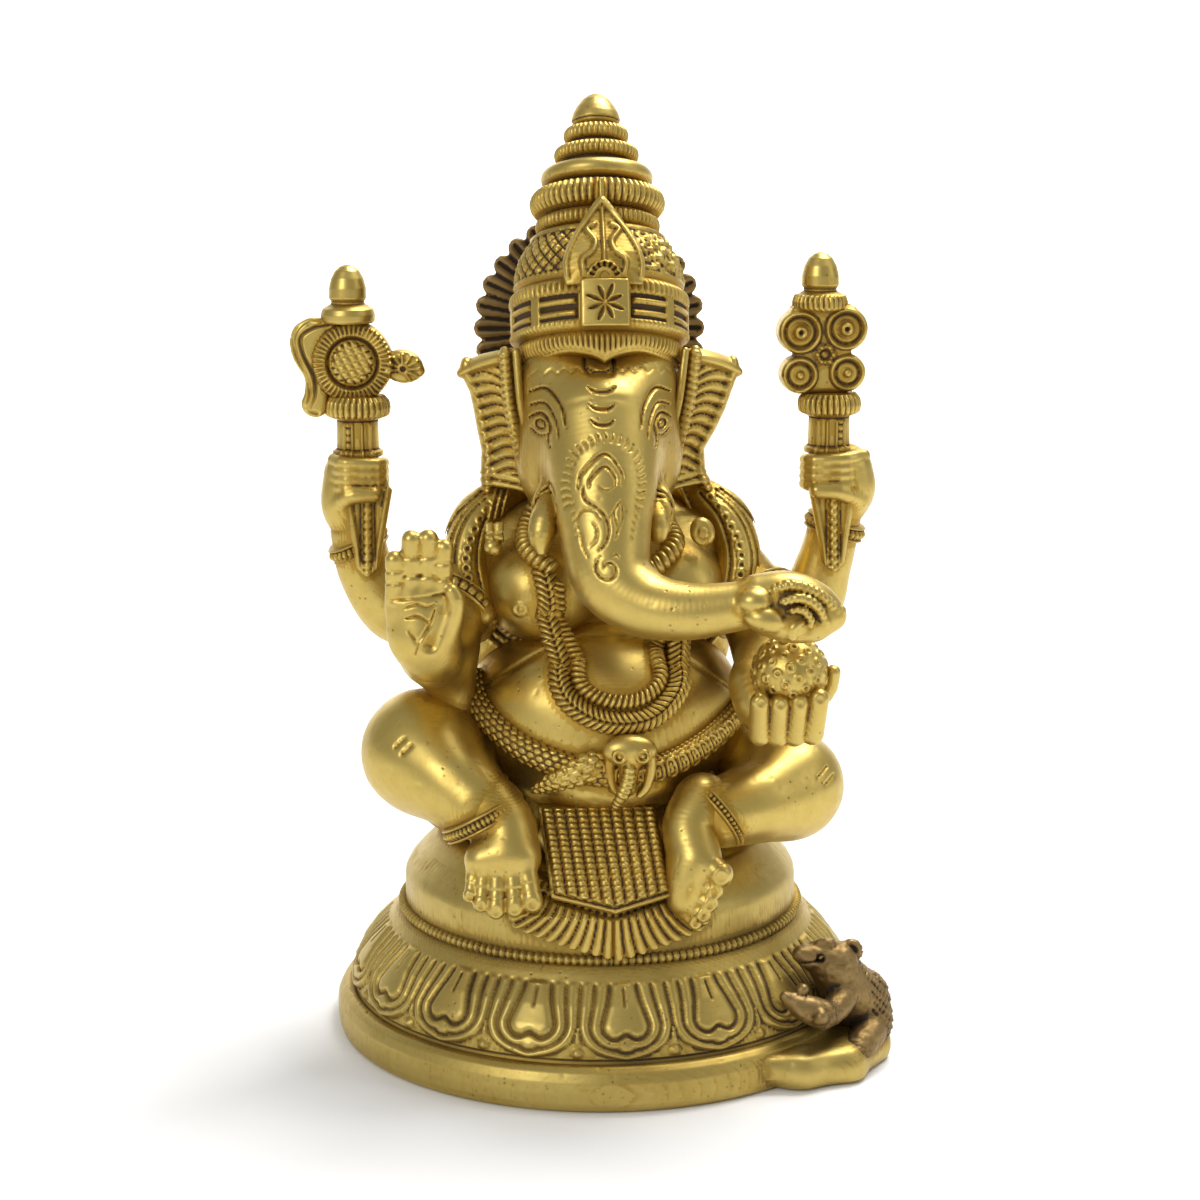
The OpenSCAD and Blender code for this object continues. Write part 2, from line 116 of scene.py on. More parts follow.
def ridge(x, width):
    """1 on the line x = 0, falling to 0 at a distance of width."""
    t = np.clip(np.abs(x) / width, 0, 1)
    return (1 - t * t) ** 2


def ribs(x, pitch, sharp=1.0):
    """Rounded ribs across x, from 0 in the grooves to 1 on the crests."""
    wave = np.abs(np.sin(math.pi * x / pitch))
    return wave ** sharp


def hash_noise(p, cell, seed=0):
    """Smooth value noise in 3D, from -1 to 1, the same on every run."""
    q = p / cell + 37.7 * (seed + 1)
    i = np.floor(q).astype(np.int64)
    f = q - i
    f = f * f * (3 - 2 * f)
    total = 0
    for dx in (0, 1):
        for dy in (0, 1):
            for dz in (0, 1):
                n = (i[:, 0] + dx) * 73856093 ^ (i[:, 1] + dy) * 19349663 ^ (i[:, 2] + dz) * 83492791
                n = (n ^ (n >> 13)) * 1274126177 & 0x7FFFFFFF
                value = n / 0x3FFFFFFF - 1
                wx = f[:, 0] if dx else 1 - f[:, 0]
                wy = f[:, 1] if dy else 1 - f[:, 1]
                wz = f[:, 2] if dz else 1 - f[:, 2]
                total = total + value * wx * wy * wz
    return total


# ---------------------------------------------------------------- distance functions

def smin(a, b, k):
    """Union of two distances with a fillet of about k."""
    h = np.clip(0.5 + 0.5 * (b - a) / k, 0, 1)
    return b + (a - b) * h - k * h * (1 - h)


def smax(a, b, k):
    """Smooth maximum: an intersection with a rounded edge."""
    return -smin(-a, -b, k)


def ball(p, at, r):
    """Distance to a sphere."""
    return np.linalg.norm(p - np.asarray(at, np.float32), axis=1) - r


def turn_x(deg):
    """Rotation about X by an angle in degrees."""
    c, s = math.cos(math.radians(deg)), math.sin(math.radians(deg))
    return np.array([[1, 0, 0], [0, c, -s], [0, s, c]])


def turn_y(deg):
    """Rotation about Y by an angle in degrees."""
    c, s = math.cos(math.radians(deg)), math.sin(math.radians(deg))
    return np.array([[c, 0, s], [0, 1, 0], [-s, 0, c]])


def local(p, at, turn=None):
    """Points in a frame that stands at a place, turned by a rotation matrix."""
    q = p - np.asarray(at, np.float32)
    return q if turn is None else q @ turn.astype(np.float32)


def egg(p, at, size, turn=None):
    """Ellipsoid with the given half axes."""
    q = local(p, at, turn)
    s = np.asarray(size, np.float32)
    k0 = np.linalg.norm(q / s, axis=1)
    k1 = np.linalg.norm(q / (s * s), axis=1) + 1e-6
    return k0 * (k0 - 1) / k1


def slab(p, at, size, turn=None, edge=0.5):
    """Box with the given half sizes and rounded edges."""
    q = np.abs(local(p, at, turn)) - (np.asarray(size, np.float32) - edge)
    outside = np.linalg.norm(np.maximum(q, 0), axis=1)
    return outside + np.minimum(q.max(1), 0) - edge


def rod(p, a, b, ra, rb=None):
    """Capsule from a to b, whose radius goes from ra to rb."""
    a, b = np.asarray(a, np.float32), np.asarray(b, np.float32)
    rb = ra if rb is None else rb
    ab = b - a
    h = np.clip((p - a) @ ab / float(ab @ ab), 0, 1)
    return np.linalg.norm(p - a - h[:, None] * ab, axis=1) - (ra + (rb - ra) * h)


def tube(p, path, count=14):
    """Distance to a round tube along a path of [x, y, z, radius], and the length at the nearest point."""
    line = spline(path, count).astype(np.float32)
    run = lengths(line)
    best = np.full(len(p), 1e9, np.float32)
    along = np.zeros(len(p), np.float32)
    for i in range(count - 1):
        a, b = line[i, :3], line[i + 1, :3]
        ab = b - a
        h = np.clip((p - a) @ ab / float(ab @ ab), 0, 1)
        q = p - a - h[:, None] * ab
        d = np.sqrt(np.einsum("ij,ij->i", q, q)) - (line[i, 3] + (line[i + 1, 3] - line[i, 3]) * h)
        nearer = d < best
        best = np.where(nearer, d, best)
        along = np.where(nearer, run[i] + (run[i + 1] - run[i]) * h, along)
    return best, along


# ---------------------------------------------------------------- relief drawn on a plane

class Relief:
    """A height map in millimetres over a plane, drawn with strokes, rings and dots."""

    def __init__(self, low, high, step=0.12):
        self.low, self.step = np.array(low, float), step
        n = np.ceil((np.array(high) - self.low) / step).astype(int) + 1
        self.u = self.low[0] + step * np.arange(n[0])
        self.v = self.low[1] + step * np.arange(n[1])
        self.h = np.zeros((n[0], n[1]), np.float32)

    def window(self, points, margin):
        low = np.floor((points.min(0) - margin - self.low) / self.step).astype(int)
        high = np.ceil((points.max(0) + margin - self.low) / self.step).astype(int) + 1
        low = np.clip(low, 0, self.h.shape)
        high = np.clip(high, 0, self.h.shape)
        return slice(low[0], high[0]), slice(low[1], high[1])

    def stroke(self, points, width, height, taper=False, count=0):
        """A line through the points, raised where height is positive, cut where it is negative."""
        line = spline(points, count) if count else np.asarray(points, float)
        si, sj = self.window(line, width)
        u, v = np.meshgrid(self.u[si], self.v[sj], indexing="ij")
        if u.size == 0:
            return
        level = np.zeros(u.shape, np.float32)
        for i in range(len(line) - 1):
            a, b = line[i], line[i + 1]
            ab = b - a
            t = np.clip(((u - a[0]) * ab[0] + (v - a[1]) * ab[1]) / max(ab @ ab, 1e-9), 0, 1)
            d = np.hypot(u - a[0] - t * ab[0], v - a[1] - t * ab[1])
            w = width
            if taper:
                w = width * (0.35 + 0.65 * math.sin(math.pi * (i + 0.5) / (len(line) - 1)))
            level = np.maximum(level, ridge(d, w))
        self.put(si, sj, level, height)

    def put(self, si, sj, level, height):
        part = self.h[si, sj]
        if height > 0:
            self.h[si, sj] = np.maximum(part, level * height)
        else:
            self.h[si, sj] = np.where(level > 0, np.minimum(part, level * height), part)

    def ring(self, at, radius, width, height):
        at = np.array(at, float)
        si, sj = self.window(at[None], radius + width)
        u, v = np.meshgrid(self.u[si], self.v[sj], indexing="ij")
        self.put(si, sj, ridge(np.hypot(u - at[0], v - at[1]) - radius, width), height)

    def dot(self, at, radius, height):
        at = np.array(at, float)
        si, sj = self.window(at[None], radius)
        u, v = np.meshgrid(self.u[si], self.v[sj], indexing="ij")
        self.put(si, sj, ridge(np.hypot(u - at[0], v - at[1]), radius), height)

    def sample(self, u, v):
        x = np.clip((u - self.low[0]) / self.step, 0, self.h.shape[0] - 1.001)
        y = np.clip((v - self.low[1]) / self.step, 0, self.h.shape[1] - 1.001)
        i, j = x.astype(int), y.astype(int)
        fx, fy = x - i, y - j
        h = self.h
        return ((h[i, j] * (1 - fx) + h[i + 1, j] * fx) * (1 - fy)
                + (h[i, j + 1] * (1 - fx) + h[i + 1, j + 1] * fx) * fy).astype(np.float32)


def arc(at, radius, start, end, count=14, stretch=1.0):
    """Points on an arc, in degrees, counted from the first axis towards the second."""
    a = np.radians(np.linspace(start, end, count))
    return np.stack([at[0] + radius * np.cos(a), at[1] + radius * stretch * np.sin(a)], 1)


def spiral(at, r0, r1, start, turns, count=30):
    """Points of a flat spiral from radius r0 to r1, with its start in degrees."""
    a = math.radians(start) + np.linspace(0, TAU * turns, count)
    r = np.linspace(r0, r1, count)
    return np.stack([at[0] + r * np.cos(a), at[1] + r * np.sin(a)], 1)


# ---------------------------------------------------------------- meshing

BLOCK = 4


def sculpt(shape, low, high, step, reach=1.2):
    """Vertices and faces of shape(points) = 0 inside a box, by surface nets on a sparse grid."""
    low, high = np.array(low, np.float32), np.array(high, np.float32)
    wide = step * BLOCK
    nb = np.ceil((high - low) / wide).astype(int) + 1
    axes = [low[i] + wide * (np.arange(nb[i]) + 0.5) for i in range(3)]
    mids = np.stack(np.meshgrid(*axes, indexing="ij"), -1).reshape(-1, 3).astype(np.float32)
    coarse = chunked(shape, mids)
    near = np.abs(coarse) < wide * 0.87 + reach
    field = np.where(coarse < 0, -FAR, FAR).astype(np.float32).reshape(nb)
    field = field.repeat(BLOCK, 0).repeat(BLOCK, 1).repeat(BLOCK, 2)
    blocks = np.stack(np.unravel_index(np.nonzero(near)[0], nb), 1) * BLOCK
    offsets = np.stack(np.meshgrid(*[np.arange(BLOCK)] * 3, indexing="ij"), -1).reshape(-1, 3)
    nodes = (blocks[:, None] + offsets[None]).reshape(-1, 3)
    points = low + step * (nodes.astype(np.float32) + 0.5)
    field[nodes[:, 0], nodes[:, 1], nodes[:, 2]] = chunked(shape, points)
    field[0], field[-1], field[:, 0], field[:, -1] = FAR, FAR, FAR, FAR
    field[:, :, 0], field[:, :, -1] = FAR, FAR
    return surface_nets(field, low + 0.5 * step, step)


def chunked(shape, points, size=120000):
    """Runs a distance function on blocks of points, to limit memory."""
    out = [shape(points[i:i + size]).astype(np.float32) for i in range(0, len(points), size)]
    return np.concatenate(out) if out else np.zeros(0, np.float32)


def surface_nets(field, low, step):
    """Vertices and quads of the zero level of a grid of values."""
    inside = field < 0
    corner = [(i, j, k) for i in (0, 1) for j in (0, 1) for k in (0, 1)]
    nx, ny, nz = field.shape

    def cell(a, c):
        return a[c[0]:nx - 1 + c[0], c[1]:ny - 1 + c[1], c[2]:nz - 1 + c[2]]

    count = np.zeros((nx - 1, ny - 1, nz - 1), np.uint8)
    for c in corner:
        count += cell(inside, c)
    mixed = np.nonzero((count > 0) & (count < 8))
    index = np.full(count.shape, -1, np.int32)
    index[mixed] = np.arange(len(mixed[0]))
    base = np.stack(mixed, 1)
    value = np.stack([field[base[:, 0] + c[0], base[:, 1] + c[1], base[:, 2] + c[2]] for c in corner], 1)
    place = np.array(corner, np.float32)
    total = np.zeros((len(base), 3), np.float32)
    hits = np.zeros(len(base), np.float32)
    for a in range(8):
        for b in range(a + 1, 8):
            if np.abs(place[a] - place[b]).sum() != 1:
                continue
            va, vb = value[:, a], value[:, b]
            crosses = (va < 0) != (vb < 0)
            t = np.where(crosses, va / np.where(crosses, va - vb, 1), 0)
            total += np.where(crosses[:, None], place[a] + t[:, None] * (place[b] - place[a]), 0)
            hits += crosses
    verts = low + step * (base + total / hits[:, None])
    faces = []
    for axis in range(3):
        u, v = (axis + 1) % 3, (axis + 2) % 3
        first = [slice(None)] * 3
        second = [slice(None)] * 3
        first[axis], second[axis] = slice(0, -1), slice(1, None)
        flips = inside[tuple(first)] != inside[tuple(second)]
        edge = np.stack(np.nonzero(flips), 1)
        keep = (edge[:, u] > 0) & (edge[:, v] > 0) & (edge[:, u] < field.shape[u] - 1) \
            & (edge[:, v] < field.shape[v] - 1)
        edge = edge[keep]
        quad = []
        for du, dv in ((-1, -1), (0, -1), (0, 0), (-1, 0)):
            at = edge.copy()
            at[:, u] += du
            at[:, v] += dv
            quad.append(index[at[:, 0], at[:, 1], at[:, 2]])
        quad = np.stack(quad, 1)
        outward = inside[edge[:, 0], edge[:, 1], edge[:, 2]]
        quad[~outward] = quad[~outward][:, ::-1]
        faces.append(quad)
    return verts, np.vstack(faces)


def grid_faces(rows, cols, wrap_rows=False, wrap_cols=False):
    """Quads of a grid of rows by cols vertices."""
    i = np.arange(rows if wrap_rows else rows - 1)
    j = np.arange(cols if wrap_cols else cols - 1)
    i, j = np.meshgrid(i, j, indexing="ij")
    i, j = i.ravel(), j.ravel()
    i1, j1 = (i + 1) % rows, (j + 1) % cols
    return np.stack([i * cols + j, i1 * cols + j, i1 * cols + j1, i * cols + j1], 1)


CAP_LENGTH = 1.2


def sweep(path, section, rows, cols, relief, up):
    """A closed tube along a path of [x, y, z]. section(s, angle) gives the two offsets, sideways and up.

    s runs from 0 to 1, and up(points) gives the direction that faces outward at each point.
    relief(s, along, angle) is added along the section's own direction.
    """
    line = spline(path, rows)
    run = lengths(line)
    s = run / run[-1]
    ahead = np.gradient(line, axis=0)
    ahead /= np.linalg.norm(ahead, axis=1, keepdims=True)
    side = np.cross(ahead, up(line))
    side /= np.linalg.norm(side, axis=1, keepdims=True)
    top = np.cross(side, ahead)
    angle = np.linspace(0, TAU, cols, endpoint=False)
    S, A = np.meshgrid(s, angle, indexing="ij")
    a, b = section(S, A)
    extra = relief(S, S * run[-1], A)
    size = np.hypot(a, b) + 1e-6
    a, b = a * (1 + extra / size), b * (1 + extra / size)
    to_end = np.minimum(S, 1 - S) * run[-1]
    cap = np.sqrt(np.clip(1 - (1 - np.clip(to_end / CAP_LENGTH, 0, 1)) ** 2, 0, 1))
    a, b = a * cap, b * cap
    verts = line[:, None] + side[:, None] * a[..., None] + top[:, None] * b[..., None]
    faces = grid_faces(rows, cols, wrap_cols=True)
    verts = verts.reshape(-1, 3)
    ends = np.array([line[0], line[-1]])
    first, last = len(verts), len(verts) + 1
    j = np.arange(cols)
    k = (j + 1) % cols
    caps = np.vstack([np.stack([np.full(cols, first), j, k], 1),
                      np.stack([np.full(cols, last), (rows - 1) * cols + k, (rows - 1) * cols + j], 1)])
    return np.vstack([verts, ends]), [faces[:, ::-1], caps[:, ::-1]]


def lathe(profile, rows, cols, relief=None, axis_at=(0, 0, 0), turn=None, closed=False):
    """Turns a profile of [radius, height] round an axis. relief(theta, s, r, z) moves points outward.

    theta is 0 towards -Y and grows towards +X; s is the length along the profile. An open profile
    starts and ends on the axis; a closed one is a ring. A third value in the profile gives the
    share of rows for the stretch that starts there.
    """
    weight = np.array([q[2] if len(q) > 2 else 1.0 for q in profile])
    p = np.array([q[:2] for q in profile], float)
    if closed:
        p, weight = np.vstack([p, p[:1]]), np.append(weight, weight[0])
    steps = np.hypot(*np.diff(p, axis=0).T)
    run = np.concatenate([[0], np.cumsum(steps)])
    share = np.concatenate([[0], np.cumsum(steps * weight[:-1])])
    want = np.interp(np.linspace(0, share[-1], rows + (1 if closed else 0)), share, run)
    r, z = np.interp(want, run, p[:, 0]), np.interp(want, run, p[:, 1])
    if closed:
        want, r, z = want[:-1], r[:-1], z[:-1]
        dr = np.roll(r, -1) - np.roll(r, 1)
        dz = np.roll(z, -1) - np.roll(z, 1)
    else:
        dr, dz = np.gradient(r), np.gradient(z)
    norm = np.hypot(dr, dz) + 1e-9
    nr, nz = dz / norm, -dr / norm
    theta = np.linspace(0, TAU, cols, endpoint=False)
    S, T = np.meshgrid(want, theta, indexing="ij")
    rr, zz = np.repeat(r[:, None], cols, 1), np.repeat(z[:, None], cols, 1)
    if relief is not None:
        extra = relief(T, S, rr, zz)
        if not closed:
            extra[0], extra[-1] = 0, 0
        rr, zz = rr + extra * nr[:, None], zz + extra * nz[:, None]
    verts = np.stack([rr * np.sin(T), -rr * np.cos(T), zz], -1).reshape(-1, 3)
    if turn is not None:
        verts = verts @ turn.T
    verts = verts + np.array(axis_at, float)
    return verts, [grid_faces(rows, cols, wrap_rows=closed, wrap_cols=True)]


# ---------------------------------------------------------------- pieces

PIECES = []


def piece(name, node, mesh, slot="figure_brass"):
    """Notes a sculpted mesh that stands for one CAD node or several."""
    verts, faces = mesh
    faces = faces if isinstance(faces, list) else [faces]
    nodes = (node,) if isinstance(node, str) else tuple(node)
    PIECES.append({"name": name, "nodes": nodes, "slot": slot,
                   "verts": np.asarray(verts, np.float64), "faces": faces})


# ---------------------------------------------------------------- base

PLINTH_HIGH, LOTUS_HIGH, DRUM_HIGH = (corners(node)[1] for node in ("plinth", "lotus_ring", "seat_drum"))
FOOT_R = PLINTH_HIGH[0]
RIM_H = PLINTH_HIGH[2]
PETAL_TOP = LOTUS_HIGH[2]
DRUM_R = DRUM_HIGH[0]
SEAT_Z = DRUM_HIGH[2]
BASE_WALL = 4.0
PETALS = 17
PETAL_PHASE = math.radians(2.2)
PETAL_R, PETAL_LENGTH = 48.0, 16.4


def pits(t, s, r, amount=0.12, seed=3):
    """Casting pits and soft unevenness on a turned surface."""
    p = np.stack([r * np.sin(t), -r * np.cos(t), s], -1).reshape(-1, 3)
    deep = np.clip(hash_noise(p, 1.1, seed) - 0.62, 0, 1) * -1.6
    soft = hash_noise(p, 6.0, seed + 1) * 0.5
    return ((deep + soft) * amount).reshape(t.shape)


def build_plinth():
    """The plain round foot of the base."""
    inner = FOOT_R - BASE_WALL - 3
    profile = [[inner, 0.0], [FOOT_R - 1.4, 0.0], [FOOT_R - 0.5, 0.5], [FOOT_R - 0.1, 1.8],
               [FOOT_R, 3.6], [FOOT_R - 0.2, 5.6], [FOOT_R - 0.9, 7.2], [FOOT_R - 1.9, 8.0],
               [FOOT_R - 3.0, RIM_H], [FOOT_R - 3.6, RIM_H - 0.5], [inner, RIM_H - 0.5]]

    def relief(t, s, r, z):
        outside = smooth(FOOT_R - 3.4, FOOT_R - 2.6, r) * smooth(0.4, 1.0, z)
        return outside * (pits(t, z, r, 0.22) + 0.12 * np.sin(3 * t + 1))

    return lathe(profile, 90, 720, relief, closed=True)


def petal_relief(t, s, r, z):
    """Nested rolls round a raised panel on each petal, with a notch at its tip and a bud between two."""
    top, foot = PETAL_TOP - 2.6, RIM_H + 0.8
    v = (top - z) / (top - foot)
    spread = TAU / PETALS
    a = (t - PETAL_PHASE + spread / 2) % spread - spread / 2
    x, y = a * PETAL_R, v * PETAL_LENGTH
    reach = spread / 2 * PETAL_R
    tip = np.exp(-(x / 1.5) ** 2)
    half = 2.9 + 1.9 * smooth(0, 11, y)
    corner = 4.3
    room = (reach - half) / 4.0
    panel_end = 12.2
    qx = np.maximum(np.abs(x) - (half - corner), 0)
    first = np.hypot(qx, np.maximum(y + 1.5 * tip * (y > 5) - panel_end + corner, 0)) - corner
    far = np.hypot(qx, np.maximum(y - 0.5 * tip - panel_end + corner, 0)) - corner
    d = first + (far - first) * smooth(0.8, 3.4, first)
    d = np.where(d > 0, d / room, d)
    rolls = 0.8 * ribs(d, 2.0, 0.75)
    crown = np.sqrt(np.clip(1 - (x / half) ** 2, 0, 1))
    vein = ridge(x, 0.4) * smooth(0.6, 1.6, y) * smooth(5.6, 4.4, y)
    panel = 0.5 * smooth(0.0, -0.8, d) + 0.5 * crown * smooth(0.0, -1.6, d) - 0.5 * vein
    out = np.where(d < 0, panel, np.where(d < 4.0, rolls, 0.0))
    between = np.abs(np.abs(x) - reach)
    bud = 0.8 * ridge(np.hypot(between, (y - 14.9) * 0.8), 1.35)
    stalk = 0.7 * ridge(between, 0.8) * smooth(13.2, 11.5, y)
    out = np.where(d >= 4.0, np.maximum(bud, stalk), out)
    area = smooth(-0.02, 0.05, v) * smooth(1.03, 0.98, v)
    return area * (out - 0.55) + 0.1 - 0.7 * ridge(z - foot + 0.5, 0.7)


def build_lotus():
    """The sloping ring of lotus petals."""
    foot, top = RIM_H - 0.4, PETAL_TOP
    profile = [[FOOT_R - BASE_WALL - 3, foot, 0.2], [FOOT_R - 3.4, foot, 1], [FOOT_R - 2.9, foot + 1.2],
               [FOOT_R - 3.3, foot + 3.6], [FOOT_R - 4.8, foot + 6.6], [FOOT_R - 7.0, foot + 9.6],
               [FOOT_R - 9.4, foot + 12.0], [DRUM_R + 2.4, top - 1.5], [DRUM_R + 1.2, top - 0.3],
               [DRUM_R - 0.3, top, 0.2], [DRUM_R - BASE_WALL, top, 0.1]]

    def relief(t, s, r, z):
        outer = smooth(0, 1.5, r - (FOOT_R - BASE_WALL - 3) + 0.66 * (z - foot)) * (r > DRUM_R - 0.2)
        return outer * (petal_relief(t, s, r, z) + pits(t, z, r, 0.1, 7))

    return lathe(profile, 92, 1080, relief, closed=True)


def build_drum():
    """The round seat above the petals."""
    wall = DRUM_R
    profile = [[wall - BASE_WALL, PETAL_TOP], [wall, PETAL_TOP], [wall + 0.1, PETAL_TOP + 3], [wall, 30.4],
               [wall - 0.6, 31.8], [wall - 2.2, 33.6], [wall - 6.5, SEAT_Z - 0.6], [wall - 9, SEAT_Z],
               [4.0, SEAT_Z], [4.0, SEAT_Z - BASE_WALL], [wall - 8, SEAT_Z - BASE_WALL],
               [wall - BASE_WALL, PETAL_TOP + 6.6]]

    def relief(t, s, r, z):
        outside = smooth(wall - 9, wall - 6, r) * (z > PETAL_TOP + 0.2) * (r > wall - BASE_WALL + 0.1)
        return outside * pits(t, z, r, 0.25, 11)

    return lathe(profile, 120, 620, relief, closed=True)


def build_beading():
    """The beaded line at the foot of the drum."""
    low, high = corners("drum_beading")
    mid = (low[2] + high[2]) / 2

    def relief(t, s, r, z):
        out = smooth(DRUM_R - 0.2, DRUM_R + 0.3, r)
        return out * (0.55 * ribs(t * DRUM_R, 1.35, 0.8) - 0.35)

    profile = [[DRUM_R - 0.6, low[2] - 0.3], [DRUM_R + 0.7, low[2] - 0.3], [DRUM_R + 1.35, mid - 0.3],
               [DRUM_R + 1.35, mid + 0.3], [DRUM_R + 0.7, high[2]], [DRUM_R - 0.6, high[2]]]
    return lathe(profile, 24, 1400, relief, closed=True)


piece("foot_ring", "plinth", build_plinth(), slot="base_brass")
piece("lotus_petals", "lotus_ring", build_lotus(), slot="base_brass")
piece("drum", "seat_drum", build_drum(), slot="base_brass")
piece("beaded_line", "drum_beading", build_beading(), slot="base_brass")


# ---------------------------------------------------------------- sculpting queue

JOBS = []


def carve(name, nodes, shape, step, margin=2.0, low=None, high=None, slot="figure_brass"):
    """Queues a distance function to be meshed in the box of its CAD nodes."""
    nodes = (nodes,) if isinstance(nodes, str) else tuple(nodes)
    boxes = [corners(n) for n in nodes]
    lo = np.min([b[0] for b in boxes], 0) - margin
    hi = np.max([b[1] for b in boxes], 0) + margin
    if low is not None:
        lo = np.maximum(lo, low)
    if high is not None:
        hi = np.minimum(hi, high)
    JOBS.append((name, nodes, slot, shape, lo, hi, step))


def rough(p, amount=0.1, seed=0):
    """Uneven cast skin: soft waves and a few pits."""
    return amount * (0.7 * hash_noise(p, 6.0, seed) + 0.12 * hash_noise(p, 2.0, seed + 1)
                     - 2.6 * np.clip(hash_noise(p, 1.1, seed + 2) - 0.66, 0, 1))


def ring_of(p, at, turn, radius, thick):
    """Torus round the local Z axis."""
    q = local(p, at, turn)
    return np.hypot(np.hypot(q[:, 0], q[:, 1]) - radius, q[:, 2]) - thick


def facing(a, b):
    """Rotation matrix whose third column points from a to b."""
    z = np.asarray(b, float) - np.asarray(a, float)
    z /= np.linalg.norm(z)
    x = np.cross([0, 1, 0] if abs(z[1]) < 0.9 else [1, 0, 0], z)
    x /= np.linalg.norm(x)
    return np.stack([x, np.cross(z, x), z], 1)


# ---------------------------------------------------------------- body volumes

RIGHT_THIGH = [[-15, 6, 50, 12.5], [-25.5, -5, 54, 12], [-33.4, -14.6, 57.1, 10.6]]
RIGHT_SHIN = [[-33.4, -14.6, 57.1, 10.4], [-29.4, -22, 54.5, 8.9], [-24.4, -27.3, 51, 7]]
LEFT_THIGH = [[15, 6, 49, 12], [25.5, -6, 50.3, 10.8], [34.4, -15.3, 49.8, 9.2]]
LEFT_SHIN = [[34.4, -15.3, 49.8, 9.1], [28.2, -22.5, 48.9, 7.8], [20.6, -27.4, 48, 6.4]]
RIGHT_UPPER = [[-21, 0, 92.6, 7.7], [-26.5, -8, 86, 7.5], [-31, -17, 77.2, 6.6]]
RIGHT_FORE = [[-31, -17, 77.2, 6.6], [-31.8, -24, 77.6, 5.8], [-32, -29, 80, 5.2]]
LEFT_UPPER = [[20, 0, 91.8, 7.9], [27.5, -8, 84, 7.4], [31, -14, 75.5, 6.6]]
LEFT_FORE = [[31, -14, 75.3, 6.6], [28.5, -23, 74, 5.6], [26, -30, 73, 4.8]]
RIGHT_REAR = [[-17, 5, 88, 6.8], [-32, 4, 81.7, 6.8], [-38.4, 1, 81, 6.5], [-44, 0, 88.6, 5.4],
              [-45.7, 0, 96, 4.9]]
LEFT_REAR = [[17, 5, 88, 6.8], [32, 4, 81.7, 6.6], [39.6, 1, 81, 6.3], [42.6, 0, 88.6, 5.3],
             [44.9, 0, 98, 4.7]]
TRUNK = [[-1, -19, 118, 11.3], [-1, -25.5, 109.5, 9.8], [-1, -30, 101, 8.2], [0, -34, 93.6, 7.0],
         [5, -37.5, 89.4, 6.0], [12, -40.5, 88.3, 5.1], [20, -42, 89.2, 4.4], [27, -42.6, 91, 3.9]]


def belly_shape(p):
    """The smooth belly, before its marks."""
    d = egg(p, (0.5, -6, 64), (26, 21.8, 17.6))
    d = smin(d, egg(p, (0.5, -10, 57), (21, 17.5, 11)), 5)
    return d


def chest_shape(p):
    """The smooth chest, breasts and shoulders."""
    d = egg(p, (0, 0, 90), (23.5, 14, 15))
    d = smin(d, egg(p, (-11.5, -9.5, 86.5), (11, 10.2, 9.6)), 3)
    d = smin(d, egg(p, (12, -9.5, 86.5), (11, 10.2, 9.6)), 3)
    d = smin(d, egg(p, (0, 2, 74), (25, 14, 15)), 4)
    for side in (-1, 1):
        d = smin(d, egg(p, (side * 19.5, 1.5, 92.6), (8.6, 9.5, 8.6)), 4)
    return smin(d, egg(p, (0, -2, 102), (10, 9, 9)), 4)


def hips_shape(p):
    """The hips, as a wide low cushion."""
    d = egg(p, (0, 4, 49), (34, 26, 13))
    for side in (-1, 1):
        d = smin(d, egg(p, (side * 20, 0, 46), (16, 20, 9)), 4)
    return smin(d, egg(p, (0, -18, 43), (15, 14, 6)), 3)


def torso(p):
    """Chest and belly together, on which cords and garlands lie."""
    return np.minimum(belly_shape(p), chest_shape(p))


def snap(points, shape, lift):
    """Moves points of a path along the gradient of a shape until they lie lift above it."""
    p = np.asarray(points, float).copy()
    for _ in range(12):
        d = shape(p.astype(np.float32)).astype(float)
        g = np.stack([shape((p + e).astype(np.float32)) - shape((p - e).astype(np.float32))
                      for e in 0.2 * np.eye(3)], 1)
        g /= np.linalg.norm(g, axis=1, keepdims=True) + 1e-9
        p -= (0.8 * (d - lift))[:, None] * g
    return p


def outward(shape):
    """Direction away from a shape, as an up function for sweep."""
    def up(points):
        g = np.stack([shape((points + e).astype(np.float32)) - shape((points - e).astype(np.float32))
                      for e in 0.3 * np.eye(3)], 1).astype(float)
        return g / (np.linalg.norm(g, axis=1, keepdims=True) + 1e-9)
    return up


def make_hips(p):
    """Hips with the ribbed cloth, cut back under the mat."""
    d = hips_shape(p)
    angle = np.arctan2(p[:, 0], -p[:, 1] + 10)
    d = d - 0.55 * (ribs(angle * 30 + 1.2 * hash_noise(p, 9, 4), 3.4, 0.6) - 0.5)
    q = local(p, RUG_FOOT, RUG_TURN)
    mat = np.maximum(np.abs(q[:, 0]) - 13, -0.3 - q[:, 2])
    return smax(d, -mat, 0.4) - rough(p, 0.15, 1)


MARKS = Relief((-50, 30), (50, 110))
for x, z, dx, dz in ((-38.6, 60.6, 1.7, 1.6), (-37.4, 59.6, 1.7, 1.6), (38.5, 53.5, 2.0, 1.4),
                     (40, 52, 1.8, 1.2)):
    MARKS.stroke([(x, z), (x + dx, z + dz)], 0.45, -0.4)


def make_leg(thigh, shin, seed):
    """A folded leg, with two short cuts on the knee."""
    def shape(p):
        a, _ = tube(p, thigh, 34)
        b, _ = tube(p, shin, 34)
        d = smin(a, b, 5)
        d = d - MARKS.sample(p[:, 0], p[:, 2]) * (p[:, 1] < -14)
        return d - rough(p, 0.16, seed)
    return shape


